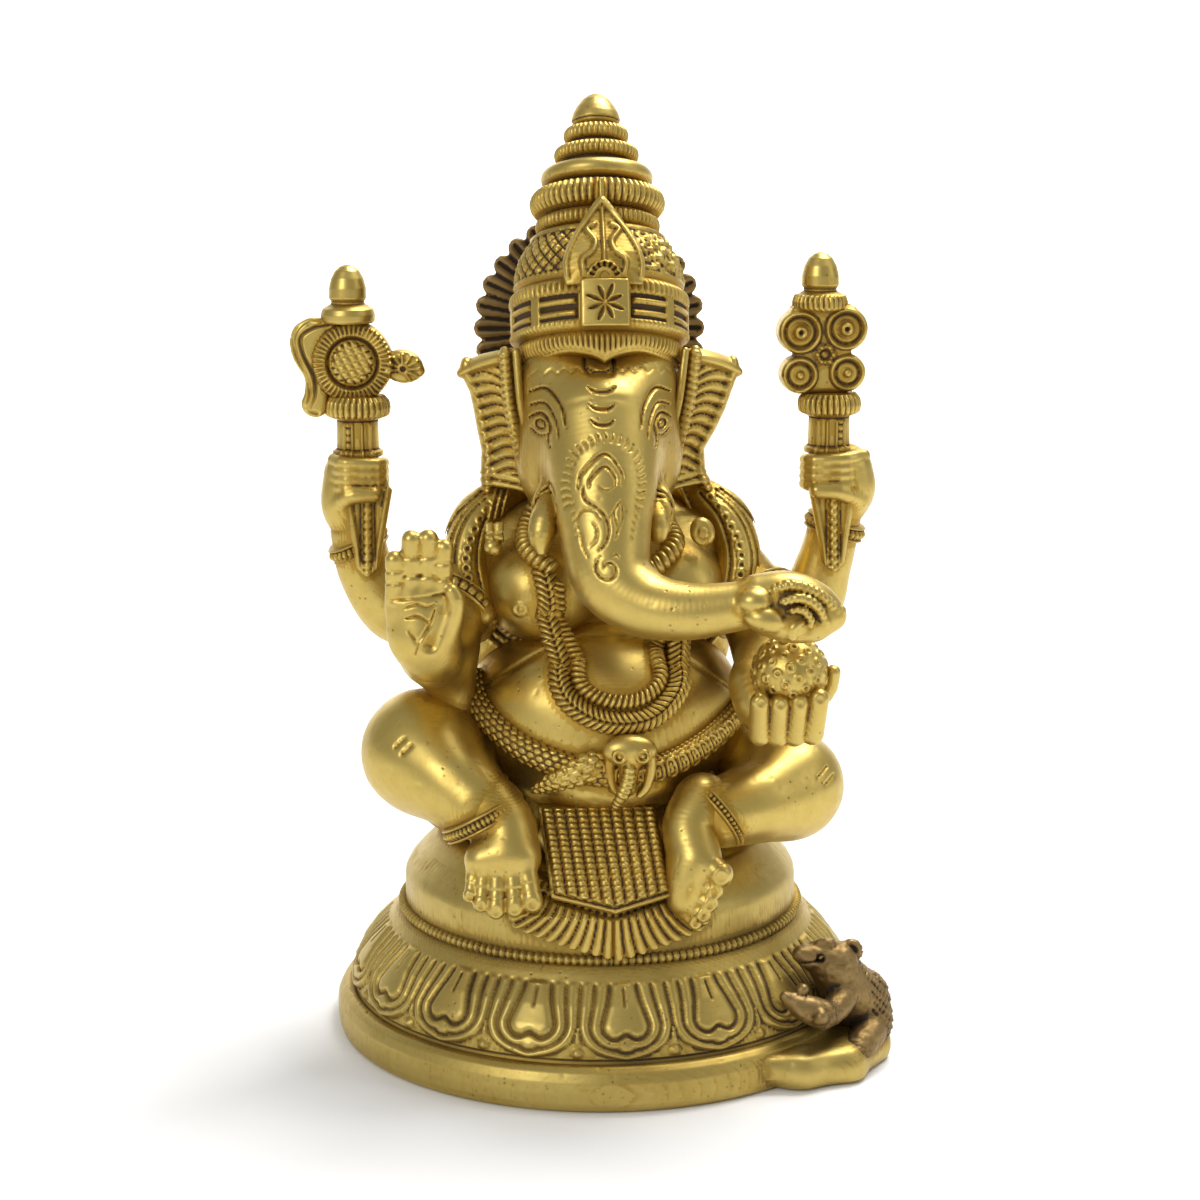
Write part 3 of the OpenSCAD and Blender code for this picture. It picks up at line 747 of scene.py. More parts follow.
def make_belly(p):
    """Belly with the crease below the chest and the fold above the cloth."""
    d = belly_shape(p)
    x, z = p[:, 0], p[:, 2]
    rim = egg(p, (0.5, -10, 52.5), (20, 18, 9))
    d = smin(d, rim, 1.0)
    d = d + 0.35 * ridge(z - 79 + 0.02 * x * x, 0.7) * (p[:, 1] < -10)
    return d - rough(p, 0.14, 4)


CHEST = Relief((-34, 60), (34, 112))
for nipple in ((-15.8, 84.6), (13.8, 84.6)):
    CHEST.ring(nipple, 1.1, 0.5, 0.42)
    CHEST.dot(nipple, 0.7, 0.5)
for drop in (0.0, 2.3, 4.6):
    CHEST.stroke(arc((-11.5, 87.0), 11.4 + drop * 0.75, 205, 318, 20, 0.95), 0.85, 0.5)
    CHEST.stroke(arc((12.5, 87.0), 11.4 + drop * 0.75, 222, 335, 20, 0.95), 0.85, 0.5)


def make_chest(p):
    """Chest with the corded lines under the breasts."""
    d = chest_shape(p)
    x, z = p[:, 0], p[:, 2]
    front = smooth(-1, -6, p[:, 1])
    lines = CHEST.sample(x, z)
    cord = 0.75 + 0.25 * np.cos(TAU * np.arctan2(z - 87, np.abs(x) - 12) * 11 / 1.25)
    d = d - lines * cord * front
    return d - rough(p, 0.14, 6)


carve("hips_cloth", "hips", make_hips, 0.42)
carve("right_leg_skin", "right_leg", make_leg(RIGHT_THIGH, RIGHT_SHIN, 2), 0.36)
carve("left_leg_skin", "left_leg", make_leg(LEFT_THIGH, LEFT_SHIN, 3), 0.36)
carve("belly_skin", "belly", make_belly, 0.4)
carve("chest_skin", "chest", make_chest, 0.34)


# ---------------------------------------------------------------- rug and fringe

RUG_TOP, RUG_FOOT = np.array([0, -27.3, 46.2]), np.array([0, -37.0, 35.6])
RUG_SLOPE = math.degrees(math.atan2(RUG_TOP[2] - RUG_FOOT[2], RUG_TOP[1] - RUG_FOOT[1]))
RUG_TURN = turn_x(RUG_SLOPE)


def make_rug(p):
    """A mat of twisted ropes that lies down the edge of the seat and ends in a point."""
    q = local(p, RUG_FOOT, RUG_TURN)
    u, v, w = q[:, 0], q[:, 1], q[:, 2]
    half = 11.0
    lean = u + 0.11 * v
    foot = -3.6 + 0.30 * np.abs(lean)
    outline = np.maximum(np.abs(lean + 0.2) - half, foot - v)
    plate = np.maximum(np.abs(w) - 0.9, outline)
    pitch = 2.06
    col = (lean + 10.3) / pitch
    local_u = (col - np.floor(col) - 0.5) * pitch
    inside = (np.abs(lean) < 10.3) & (v > -2.4 + 0.30 * np.abs(lean))
    rope = np.sqrt(np.clip(1 - (local_u / 1.0) ** 2, 0, 1))
    twist = np.abs(np.cos(math.pi * (v + 0.16 * local_u) / 1.15)) ** 0.6
    lift = 1.05 * rope * (0.5 + 0.5 * twist) * inside
    border = 0.4 * ridge(outline + 0.45, 0.45) * (v < 1.2)
    return plate - np.where(w > 0, np.maximum(lift, border * ~inside), 0) + 0.3


def make_fringe(p):
    """Short fanned strands below the mat, on the side of the seat."""
    x, y, z = p[:, 0], p[:, 1], p[:, 2]
    r = np.hypot(x, y)
    surface = np.where(z > 32, DRUM_R - (z - 32) * 0.75, DRUM_R)
    foot = 24.7 + 0.25 * np.abs(x - 0.8) + 0.002 * (x - 1) ** 2
    head = 33.0 + 0.26 * np.abs(x)
    fan = x - 0.045 * x * (head - z)
    strands = ribs(fan, 1.3, 0.6)
    depth = 0.8 + 0.85 * strands - 0.8 * ridge(z - head + 0.8, 0.6)
    reach = smooth(18.5, 17.3, np.abs(x + 0.3))
    f = np.maximum(r - surface - depth * reach, surface - 1.2 - r)
    f = np.maximum(f, np.maximum(foot - 0.7 * strands - z, z - head - 1.4))
    return np.maximum(np.maximum(f * 0.8, np.abs(x + 0.3) - 18.3), y + 10)


carve("rope_mat", "rug", make_rug, 0.26)
carve("mat_fringe", "rug_fringe", make_fringe, 0.28)


# ---------------------------------------------------------------- feet and anklets

def make_foot(ankle, ball_bar, toes, seed):
    """A bare foot that hangs over the edge of the seat. toes holds the tips, roots and sizes."""
    def shape(p):
        d, _ = tube(p, ankle, 24)
        d = smin(d, rod(p, *ball_bar), 2.8)
        nails = np.full(len(p), 9.0, np.float32)
        for tip, root, r in toes:
            tip, root = np.array(tip, float), np.array(root, float)
            toe = rod(p, root, tip, r * 0.98, r)
            toe = toe + 0.16 * ridge(np.linalg.norm(p - (0.62 * tip + 0.38 * root).astype(np.float32),
                                                    axis=1) - r, 0.3)
            d = smin(d, toe, 0.75)
            nails = np.minimum(nails, egg(p, tip + np.array([0, -r, 0.15]), (0.62 * r, 0.45, 0.7 * r)))
        d = smax(d, -(nails - 0.05), 0.12)
        return d - rough(p, 0.12, seed)
    return shape


RIGHT_TOES = [((-14.4, -38.8, 35.5), (-15.5, -36.4, 41.2), 1.95),
              ((-17.6, -39.0, 34.5), (-17.9, -36.6, 41.0), 1.65),
              ((-20.9, -38.8, 34.1), (-20.5, -36.4, 40.6), 1.65),
              ((-23.6, -38.2, 35.0), (-22.9, -35.8, 40.2), 1.45),
              ((-25.5, -37.2, 36.3), (-24.8, -35.0, 40.0), 1.3)]
LEFT_TOES = [((19.1, -38.2, 39.8), (16.4, -36.0, 42.2), 2.4),
             ((18.0, -38.7, 36.8), (14.8, -36.8, 38.3), 1.65),
             ((17.2, -38.9, 34.6), (14.2, -37.0, 36.2), 1.55),
             ((16.1, -38.9, 32.6), (13.5, -37.0, 34.2), 1.45),
             ((14.7, -38.5, 31.0), (12.7, -36.6, 32.4), 1.3)]


def band_round(at, along, radius, width, count, high=0.45):
    """A ribbed metal band with a plain bead on each side, round a limb."""
    half = width / 2
    profile = [[radius - 1.4, -half], [radius + 0.3, -half], [radius + 0.8, -half + 0.35],
               [radius + 0.35, -half + 0.75], [radius + 0.95, 0], [radius + 0.35, half - 0.75],
               [radius + 0.8, half - 0.35], [radius + 0.3, half], [radius - 1.4, half]]

    def relief(t, s, r, z):
        mid = smooth(half - 0.6, half - 0.9, np.abs(z)) * smooth(radius, radius + 0.3, r)
        return mid * high * (ribs(t * count / 2, math.pi, 0.7) - 0.6)

    verts, faces = lathe(profile, 44, 300, relief, closed=True)
    turn = facing((0, 0, 0), along)
    return verts @ turn.T + np.array(at, float), faces


carve("right_foot_skin", "right_foot", make_foot(
    [[-22.2, -28.2, 50.0, 6.4], [-18.8, -30.8, 46.6, 5.6], [-18.8, -32.8, 43.4, 5.2]],
    ((-23.2, -34.2, 42.0), (-16.2, -34.8, 42.4), 3.2, 3.4), RIGHT_TOES, 12), 0.24, 3.0)
carve("left_foot_skin", "left_foot", make_foot([[17.0, -27.5, 50.0, 5.6], [14.4, -30.5, 46.5, 5.0],
                                                [14.6, -33.2, 42.6, 4.8], [13.6, -35.0, 38.2, 3.9],
                                                [12.9, -36.0, 34.4, 2.7]],
                                               ((16.0, -35.4, 41.2), (13.0, -36.2, 35.2), 3.2, 2.4),
                                               LEFT_TOES, 13), 0.24, 3.0)
piece("right_anklet_band", "right_anklet",
      band_round((-22.9, -28.2, 48.2), (4.6, -1.5, -8.7), 7.1, 3.0, 52, 0.5))
piece("left_anklet_band", "left_anklet",
      band_round((19.5, -27.5, 48), (7.8, 3, 5.5), 6.4, 2.2, 46))


# ---------------------------------------------------------------- snake belt and garlands

def scales(along, across, long, wide):
    """Overlapping round scales, 0 to 1."""
    row = np.floor(across / wide)
    x = along / long + 0.5 * (row % 2)
    fx = (x - np.floor(x)) - 0.5
    fy = across / wide - row - 0.5
    d = np.sqrt((fx * 1.15 + 0.15) ** 2 + (fy * 1.05) ** 2)
    return smooth(0.56, 0.40, d) * (0.75 + 0.5 * fx)


def make_snake():
    """The snake that is tied round the belly as a belt."""
    path = snap(spline([[-25.5, -9, 71.5], [-23.4, -17, 65.7], [-17, -23.5, 60.6], [-9, -27.5, 57.6],
                        [0, -29.5, 56], [9, -29, 56.5], [17, -25, 59.5], [23.8, -18, 63.6],
                        [27.3, -8.5, 66.5]], 60), torso, 0.7)

    def section(s, a):
        r = 2.15 * (0.86 + 0.14 * np.sin(math.pi * s))
        return 1.12 * r * np.cos(a), r * np.sin(a)

    def relief(s, run, a):
        around = (a / TAU * 12)
        left = smooth(0.52, 0.47, s)
        scaly = 0.55 * scales(run, around, 1.75, 1.0)
        fx = (run / 2.3) % 1 - 0.5
        flower = 0.5 * ridge(np.hypot(fx * 2.3, np.sin(a) * 2.2 - 2.2) - 0.75, 0.4) \
            + 0.45 * ridge(np.hypot(fx * 2.3, np.sin(a) * 2.2 - 2.2), 0.45)
        pebble = 0.28 * ribs(run, 1.1) * ribs(around, 1.0)
        return left * scaly + (1 - left) * np.maximum(flower, pebble) - 0.15

    return sweep(path, section, 620, 84, relief, outward(torso))


def hood_shape(p):
    """A cobra's hood raised over the belt, with its forked tongue and coiled scrolls beside it."""
    at = np.array([3.6, -29.8, 58.6])
    cap = egg(p, at + (-0.1, -0.6, 2.2), (5.0, 2.5, 3.0))
    neck = rod(p, at + (0, -0.6, 1), at + (-0.6, -1.4, -4.6), 2.0, 1.5)
    d = smin(cap, neck, 0.7)
    d = smin(d, slab(p, at + (-0.3, 0.5, -2.2), (3.6, 0.8, 3.9), turn_x(10), 0.7), 0.5)
    for side in (-1, 1):
        eye = at + (side * 2.1, -2.9, 1.7)
        d = smin(d, ring_of(p, eye, turn_x(80), 1.0, 0.32), 0.15)
        d = np.minimum(d, ball(p, eye + (0, -0.1, 0), 0.42))
        flange, _ = tube(p, [[*(at + (side * 3.6, -0.6, 2.0)), 1.0],
                             [*(at + (side * 3.7, -0.6, -1.6)), 0.95],
                             [*(at + (side * 2.9, -0.7, -4.6)), 0.85],
                             [*(at + (side * 1.7, -0.8, -6.0)), 0.7]], 16)
        d = smin(d, flange, 0.3)
        d = np.minimum(d, ring_of(p, at + (side * 2.3, -0.5, -2.4), turn_x(90), 0.95, 0.4))
    tongue, along = tube(p, [[3.4, -32.2, 58.2, 1.0], [3.0, -32.6, 55.6, 1.15], [2.0, -32.4, 53, 1.1],
                             [0.9, -31.2, 51, 0.7]], 12)
    d = np.minimum(d, tongue - 0.3 * (ribs(along, 0.95) - 0.5))
    return d - rough(p, 0.08, 20)


def garland(points, width, height, pitch, slant, round_top):
    """A cord of slanted plumes laid on the body."""
    path = snap(spline(points, 90), torso, 0.25)

    def section(s, a):
        return width * np.cos(a), height * np.sin(a) * np.where(np.sin(a) > 0, 1, 0.6)

    def relief(s, run, a):
        side = np.cos(a)
        wave = ribs(run + slant * (np.abs(side) if not round_top else side), pitch, 0.75)
        keel = 0 if round_top else -0.45 * ridge(side, 0.22) * (np.sin(a) > 0)
        return (0.62 * wave - 0.35) * smooth(-0.3, 0.2, np.sin(a)) + keel

    return sweep(path, section, 560, 56, relief, outward(torso))


def neck_cord():
    """A thick ribbed cord from behind the ears down under the trunk, on both sides."""
    verts, faces, shift = [], [], 0
    for points in ([[-15.6, -11, 108], [-16.2, -14, 104.5], [-15.8, -16, 100], [-13.1, -19, 95.7],
                    [-8.8, -22, 93.4]],
                   [[12.6, -11, 107.5], [13.4, -14, 103.5], [13.2, -17, 99.3], [10.4, -20, 95.9],
                    [6.5, -23, 94.1]]):
        path = snap(spline(points, 40), chest_shape, 1.0)
        v, f = sweep(path, lambda s, a: (1.7 * np.cos(a), 1.7 * np.sin(a)), 260, 44,
                     lambda s, run, a: 0.6 * (ribs(run + 0.3 * np.cos(a), 1.25, 0.75) - 0.5),
                     outward(chest_shape))
        verts.append(v)
        faces += [q + shift for q in f]
        shift += len(v)
    return np.vstack(verts), faces


piece("neck_cord", "garland_inner", neck_cord())
piece("snake_body", "snake_belt", make_snake())
carve("snake_head", "snake_hood", hood_shape, 0.22)


def snake_tail(p):
    """The snake's other end: scaly, flat, and wider toward the hood that it passes behind."""
    flat = p * np.array([1, 1.7, 1], np.float32)
    d, run = tube(flat, [[-13.5, -46.6, 52.7, 0.8], [-10.8, -49.0, 54.5, 1.6], [-8.1, -50.6, 55.9, 2.2],
                         [-4.6, -50.6, 57.2, 2.8], [-2.0, -49.6, 58.0, 2.7]], 26)
    across = (p[:, 2] - 56) * 0.93 - (p[:, 0] + 8) * 0.37
    return d * 0.7 - 0.4 * (scales(run, across + 20, 1.7, 1.15) - 0.4)


carve("snake_end", "snake_belt", snake_tail, 0.24, 2.0, low=(-17, -40, 49), high=(4, -20, 63))
piece("plume_garland", "garland_outer", garland(
    [[-12, -22, 97], [-9.8, -27, 86], [-10.6, -27.5, 78], [-8.2, -29, 70.5], [-1, -30.5, 66.2],
     [8, -30, 66.6], [14, -27, 72], [15.5, -25, 80], [14, -24, 89]], 2.1, 1.5, 1.15, 1.3, False))
piece("round_garland", "garland_inner", garland(
    [[-7.4, -26.5, 93], [-6.6, -28, 80], [-5.2, -29, 73.4], [0, -30, 70.3], [6.5, -29.5, 70.8],
     [11, -28, 76], [11, -27, 86]], 1.3, 1.5, 1.05, 0.35, True))


# ---------------------------------------------------------------- front arms and hands

def make_right_front_arm(p):
    """The raised arm and its open palm."""
    a, _ = tube(p, RIGHT_UPPER, 26)
    b, _ = tube(p, RIGHT_FORE, 26)
    d = smin(smin(a, b, 2.5), rod(p, (-29, -17, 76), (-28, -14, 66), 4.8, 4.4), 3)
    return d - rough(p, 0.14, 21)


PALM = Relief((-42, 70), (-20, 106))
for line in ([(-36.4, 88.2), (-34.2, 88.9), (-32.4, 88.4), (-31.0, 88.9)],
             [(-36.2, 86.4), (-34.0, 86.8), (-32.0, 85.6)],
             [(-31.0, 88.0), (-32.0, 85.2), (-34.0, 82.4), (-34.6, 80.2)],
             [(-35.8, 84.4), (-34.6, 82.8), (-34.2, 81.2)]):
    PALM.stroke(line, 0.5, -0.35, True, count=14)


def make_blessing_hand(p):
    """The open right hand, its palm to the front."""
    d = egg(p, (-33.4, -31.0, 84.6), (6.2, 3.8, 7.4))
    d = smin(d, egg(p, (-33.6, -31.3, 88.4), (6.1, 3.0, 4.0)), 2.0)
    d = smin(d, rod(p, (-32.0, -29.0, 79.4), (-32.8, -30.2, 81.6), 5.4, 5.4), 3.0)
    d = smin(d, egg(p, (-30.4, -33.0, 84.6), (2.6, 2.0, 4.0)), 1.0)
    for x, top, r in ((-37.9, 96.6, 1.75), (-35.0, 100.2, 1.85), (-32.1, 100.3, 1.85), (-29.4, 98.6, 1.8)):
        tilt = 0.04 * (x + 33.6)
        root = np.array([x * 0.95 - 1.9, -32.0, 90.2])
        tip = np.array([x + tilt, -33.2, top])
        finger = rod(p, root, tip, r + 0.1, r - 0.15)
        run = (p[:, 2] - 90.2) / (top - 90.2)
        joint = ridge(run - 0.36, 0.07) + ridge(run - 0.70, 0.07)
        finger = finger + 0.22 * joint * (p[:, 1] < -32.4)
        d = smin(d, finger, 1.0)
    thumb, _ = tube(p, [[-29.6, -31.6, 82.4, 2.7], [-28.0, -33, 86.4, 2.1], [-27.4, -33.8, 89.4, 1.7],
                        [-28.0, -33.8, 91.0, 1.4]], 14)
    d = smin(d, thumb, 0.8)
    d = smax(d, -rod(p, (-29.9, -36.4, 88.0), (-31.9, -36.2, 81.8), 2.0, 1.4), 0.8)
    d = d + 0.3 * ridge(p[:, 2] - 90.0 - 0.12 * (p[:, 0] + 34), 0.45) * (p[:, 1] < -33.2) * (p[:, 0] < -29.4)
    d = d - PALM.sample(p[:, 0], p[:, 2]) * (p[:, 1] < -33.0)
    return d - rough(p, 0.1, 22)


def make_left_front_arm(p):
    """The left front arm, from the shoulder to the wrist."""
    a, _ = tube(p, LEFT_UPPER, 26)
    b, _ = tube(p, LEFT_FORE, 26)
    return smin(a, b, 2.5) - rough(p, 0.14, 23)


BALL_AT, BALL_R = np.array([31.2, -37.6, 76.4]), 6.7


def ball_rings(count):
    """Evenly spread directions on a sphere."""
    i = np.arange(count) + 0.5
    z = 1 - 2 * i / count
    a = math.pi * (1 + math.sqrt(5)) * i
    r = np.sqrt(1 - z * z)
    return np.stack([r * np.cos(a), r * np.sin(a), z], 1)


def make_sweet(p):
    """A sweet covered with little rings."""
    q = p - BALL_AT.astype(np.float32)
    size = np.linalg.norm(q, axis=1) + 1e-6
    way = q / size[:, None]
    best = np.max(way @ ball_rings(92).T.astype(np.float32), axis=1)
    off = np.arccos(np.clip(best, -1, 1)) * BALL_R
    d = size - BALL_R
    d = d - 0.3 * ridge(off - 0.62, 0.34)
    return d - rough(p, 0.1, 24)


def make_sweet_hand(p):
    """The left front hand, which holds the sweet from below."""
    d, _ = tube(p, [[26, -31, 73, 5.0], [27.6, -34, 69.6, 5.4], [30.6, -36.5, 68.3, 5.0]], 8)
    d = smin(d, egg(p, (30.6, -38.0, 67.5), (6.4, 3.4, 3.6)), 1.6)
    nails = np.full(len(p), 9.0, np.float32)
    for i in range(4):
        x0, x1 = 25.7 + 3.1 * i, 25.3 + 3.45 * i
        low = 66.2 - 0.5 * math.sin(math.pi * (i + 0.5) / 4)
        top = 71.6 + (0.9, 0.5, 0.7, 1.4)[i]
        finger = rod(p, (x0, -40.0, low), (x1, -43.0, top), 2.1, 1.8)
        d = smin(d, finger, 0.4)
        nails = np.minimum(nails, egg(p, (x1, -44.95, top + 0.3), (0.95, 0.5, 1.15)))
    thumb, _ = tube(p, [[33, -36.5, 69.5, 2.4], [37.5, -37.6, 73, 1.9], [38.8, -38.4, 76.6, 1.3]], 8)
    d = smin(d, thumb, 0.6)
    d = smax(d, -(nails - 0.05), 0.12)
    d = smax(d, -(ball(p, BALL_AT, BALL_R - 0.4)), 0.2)
    return d - rough(p, 0.1, 25)


def make_armlets(side):
    """The beaded ring on one upper arm; side is -1 for the right."""
    at = (side * 28.2, -10, 83.4)
    path = RIGHT_UPPER if side < 0 else LEFT_UPPER
    along = np.array(path[2][:3]) - np.array(path[0][:3])
    return band_round(at, along, 8.1, 3.4, 30, 0.6)


carve("right_front_arm_skin", "right_front_arm", make_right_front_arm, 0.34)
carve("open_palm", "blessing_hand", make_blessing_hand, 0.24, 4.5)
carve("left_front_arm_skin", "left_front_arm", make_left_front_arm, 0.34)
carve("ringed_sweet", "sweet", make_sweet, 0.22)
carve("cupped_fingers", "sweet_hand", make_sweet_hand, 0.25, 2.6)


# ---------------------------------------------------------------- rear arms, scarfs and hands

def staff_x(side):
    """X of the staff in one rear hand."""
    return float(centre("disc_collar" if side < 0 else "roundel_collar")[0])


def rear_arm(side):
    """Distance function of one rear arm."""
    path = RIGHT_REAR if side < 0 else LEFT_REAR

    def shape(p):
        d, _ = tube(p, path, 44)
        return d - rough(p, 0.13, 30 + side)
    return shape


def rear_hand(side):
    """Wrist, back of the hand and the fingers closed round the staff."""
    x = staff_x(side)

    def shape(p):
        d, _ = tube(p, [[side * 45.3, 0, 98.7 + side * 1.2, 4.8], [side * 46.9, 0, 102.4 + side, 5.3],
                        [side * 46.6, -0.4, 107, 5.0]], 24)
        for i in range(4):
            z = 105.0 + 1.55 * i
            finger, _ = tube(p, [[side * 49.5, -2.0, z + 0.3, 1.35], [x + side * 2.2, -5.0, z + 0.1, 1.3],
                                 [x - side * 3.4, -4.6, z - 0.2, 1.2],
                                 [x - side * 4.8, -2.4, z - 0.2, 1.0]], 10)
            d = smin(d, finger, 0.35)
        thumb, _ = tube(p, [[side * 48.5, -3.0, 101.5, 2.0], [x + side * 1.5, -5.4, 103.6, 1.7],
                            [x - side * 2.8, -5.6, 103.9, 1.45]], 8)
        d = smin(d, thumb, 0.6)
        return d - rough(p, 0.1, 33 + side)
    return shape


def scarf(side):
    """A folded scarf over the wrist: two plain borders with a row of beads between them."""
    x0 = float(centre("right_scarf" if side < 0 else "left_scarf")[0])
    tip = (x0 + side * 0.2, 89.2)

    def shape(p):
        x, y, z = p[:, 0], p[:, 1], p[:, 2]
        t = np.clip((105.0 - z) / (105.0 - tip[1]), 0, 1.2)
        mid = x0 + (tip[0] - x0) * t
        half = 4.6 - 2.7 * t
        u = x - mid
        plane = -4.6 - 1.1 * t + 0.10 * u * u * 0.3
        top = 105.4 - 0.15 * np.abs(u)
        foot = tip[1] + 0.55 * np.abs(u)
        f = np.maximum(np.abs(y - plane) - 0.75, np.abs(u) - half)
        f = np.maximum(f, np.maximum(z - top, foot - z))
        bead = np.hypot(u, (z / 1.5 - np.floor(z / 1.5) - 0.5) * 1.5)
        lift = 0.7 * np.sqrt(np.clip(1 - (bead / 0.9) ** 2, 0, 1))
        edge = 0.5 * ridge(np.abs(u) - half + 0.75, 0.75)
        line = 0.35 * ridge(np.abs(u) - 1.35, 0.3)
        front = y < plane
        return f * 0.9 - np.where(front, np.maximum(lift, edge) - line, 0)
    return shape


for side, hand in ((-1, "right"), (1, "left")):
    carve(hand + "_rear_arm_skin", hand + "_rear_arm", rear_arm(side), 0.34)
    carve(hand + "_rear_grip", hand + "_rear_hand", rear_hand(side), 0.27, 4.5)
    carve(hand + "_beaded_scarf", hand + "_scarf", scarf(side), 0.24)
    wrist = RIGHT_REAR if side < 0 else LEFT_REAR
    along = np.array(wrist[4][:3]) - np.array(wrist[2][:3])
    at = centre(hand + "_bracelet")
    piece(hand + "_bracelet_band", hand + "_bracelet", band_round(at, along, 5.0, 3.2, 30, 0.5))


# ---------------------------------------------------------------- staffs, disc and roundels

def make_collar(side, name):
    """The ribbed staff and collar under an emblem."""
    x = staff_x(side)
    low, high = corners(name)
    foot, top = low[2], high[2]
    big = (high[0] - low[0]) / 2
    stem = 4.05
    neck = top - 4.3

    def relief(t, s, r, z):
        t = (t + math.pi) % TAU - math.pi
        body = smooth(neck - 0.3, neck - 0.8, z) * (r > stem - 0.6)
        u = t * stem
        bars = 0.42 * ridge(np.abs(u) - 2.6, 0.55) + 0.42 * ridge(np.abs(u) - 0.9, 0.45)
        beads = 0.5 * ribs(z, 1.35, 0.8) * ridge(u - side * 1.75, 0.75)
        out = body * np.maximum(bars, beads)
        rim = smooth(neck + 0.2, neck + 0.6, z) * (r > stem + 0.6)
        return out + rim * 0.5 * (ribs(t * 15, math.pi, 0.7) - 0.55)

    profile = [[0, foot], [stem - 0.3, foot], [stem - 0.3, foot + 7.2], [stem + 0.6, foot + 7.6],
               [stem + 0.7, foot + 8.4], [stem - 0.1, foot + 8.9], [stem - 0.2, neck - 0.2],
               [big - 1.3, neck + 0.1], [big - 0.2, neck + 0.9], [big, neck + 2.0], [big - 0.2, neck + 3.2],
               [big - 1.0, top - 0.2], [big - 2.4, top], [0, top]]
    return lathe(profile, 130, 300, relief, (x, 0, 0))


def make_finial(name, ribbed):
    """The turned tip over an emblem."""
    low, high = corners(name)
    mid = (low + high) / 2
    foot, top = low[2] - 0.4, high[2]

    def relief(t, s, r, z):
        band = smooth(foot + 0.2, foot + 0.6, z) * smooth(foot + 3.0, foot + 2.6, z) * (r > 3.6)
        return band * (0.45 * (ribs(t * 15, math.pi, 0.7) - 0.6) if ribbed else 0 * t)

    profile = [[0, foot], [4.6, foot], [5.0, foot + 0.5], [5.05, foot + 1.6], [4.7, foot + 2.6],
               [3.9, foot + 3.1], [3.1, foot + 3.5], [3.05, foot + 4.0], [3.5, foot + 4.6],
               [3.45, foot + 6.4], [3.0, foot + 8.2], [2.2, foot + 9.6], [1.3, top - 0.35],
               [0.5, top - 0.04], [0, top]]
    return lathe(profile, 110, 220, relief, (mid[0], mid[1], 0))


DISC_AT = np.array([-45.9, 0, 128.0])
DISC = Relief((-62, 114), (-30, 138), 0.1)
ux, uz = DISC_AT[0], DISC_AT[2]
for k in range(46):
    a = TAU * k / 46
    DISC.stroke([(ux + 5.1 * math.cos(a), uz + 5.1 * math.sin(a)),
                 (ux + 7.1 * math.cos(a), uz + 7.1 * math.sin(a))], 0.33, 0.42)
DISC.ring((ux, uz), 4.55, 0.42, -0.9)
for k in range(-3, 4):
    for slope, gap in ((-62, 1.35), (14, 1.35)):
        c, s = math.cos(math.radians(slope)), math.sin(math.radians(slope))
        reach = math.sqrt(max(0.0, 4.0**2 - (k * gap) ** 2))
        if reach > 0.5:
            mid = (ux - s * k * gap, uz + c * k * gap)
            DISC.stroke([(mid[0] - c * reach, mid[1] - s * reach),
                         (mid[0] + c * reach, mid[1] + s * reach)], 0.3, -0.35)
for shift in (0.0, 1.25):
    DISC.stroke([(ux - 5.6 + shift, uz + 7.6 - shift * 0.4), (ux - 8.4 + shift, uz + 7.6 - shift),
                 (ux - 10.6 + shift, uz + 5 - shift * 0.3), (ux - 10.2 + shift, uz + 1.5),
                 (ux - 8.4 + shift, uz - 2.5), (ux - 7.9 + shift * 0.7, uz - 6.0),
                 (ux - 8.8 + shift * 0.5, uz - 8.4)], 0.5, -0.62, count=40)
DISC.stroke([(ux - 9.6, uz - 6.6), (ux - 8.9, uz - 8.4), (ux - 6.6, uz - 9.4)], 0.5, -0.45, count=14)
for k in range(9):
    a = math.radians(-62 + 31 * k)
    DISC.stroke([(ux + 9.3 + 1.0 * math.cos(a), uz - 1.2 + 1.0 * math.sin(a)),
                 (ux + 9.3 + 3.0 * math.cos(a), uz - 1.2 + 2.6 * math.sin(a))], 0.42, 0.42)
DISC.ring((ux + 9.3, uz - 1.2), 0.75, 0.4, 0.45)


def make_disc(p):
    """The disc emblem with its swirl and its bud."""
    x, y, z = p[:, 0], p[:, 1], p[:, 2]
    r = np.hypot(x - ux, z - uz)
    body = smax(r - 7.5, np.abs(y) - 2.9, 1.4)
    core = smax(r - 4.1, np.abs(y) - 3.3, 1.2)
    d = np.minimum(body, core)
    q = np.stack([x, 0 * y, z], 1)
    swirl, _ = tube(q, [[ux - 3.0, 0, uz + 5.2, 2.2], [ux - 7.6, 0, uz + 4.9, 3.2],
                        [ux - 8.6, 0, uz + 2.0, 2.6], [ux - 7.0, 0, uz - 2.5, 1.9],
                        [ux - 6.8, 0, uz - 6.2, 2.3], [ux - 7.0, 0, uz - 7.6, 2.6]], 18)
    d = np.minimum(d, smax(swirl, np.abs(y) - 2.1, 1.2))
    bud, _ = tube(q, [[ux + 7.2, 0, uz - 0.6, 2.2], [ux + 9.6, 0, uz - 0.9, 3.1],
                      [ux + 12.2, 0, uz - 1.7, 1.2]], 10)
    d = np.minimum(d, smax(bud, np.abs(y) - 2.1, 1.2))
    lift = DISC.sample(x, z)
    return d - lift * smooth(1.2, 1.9, np.abs(y)) - rough(p, 0.08, 40)


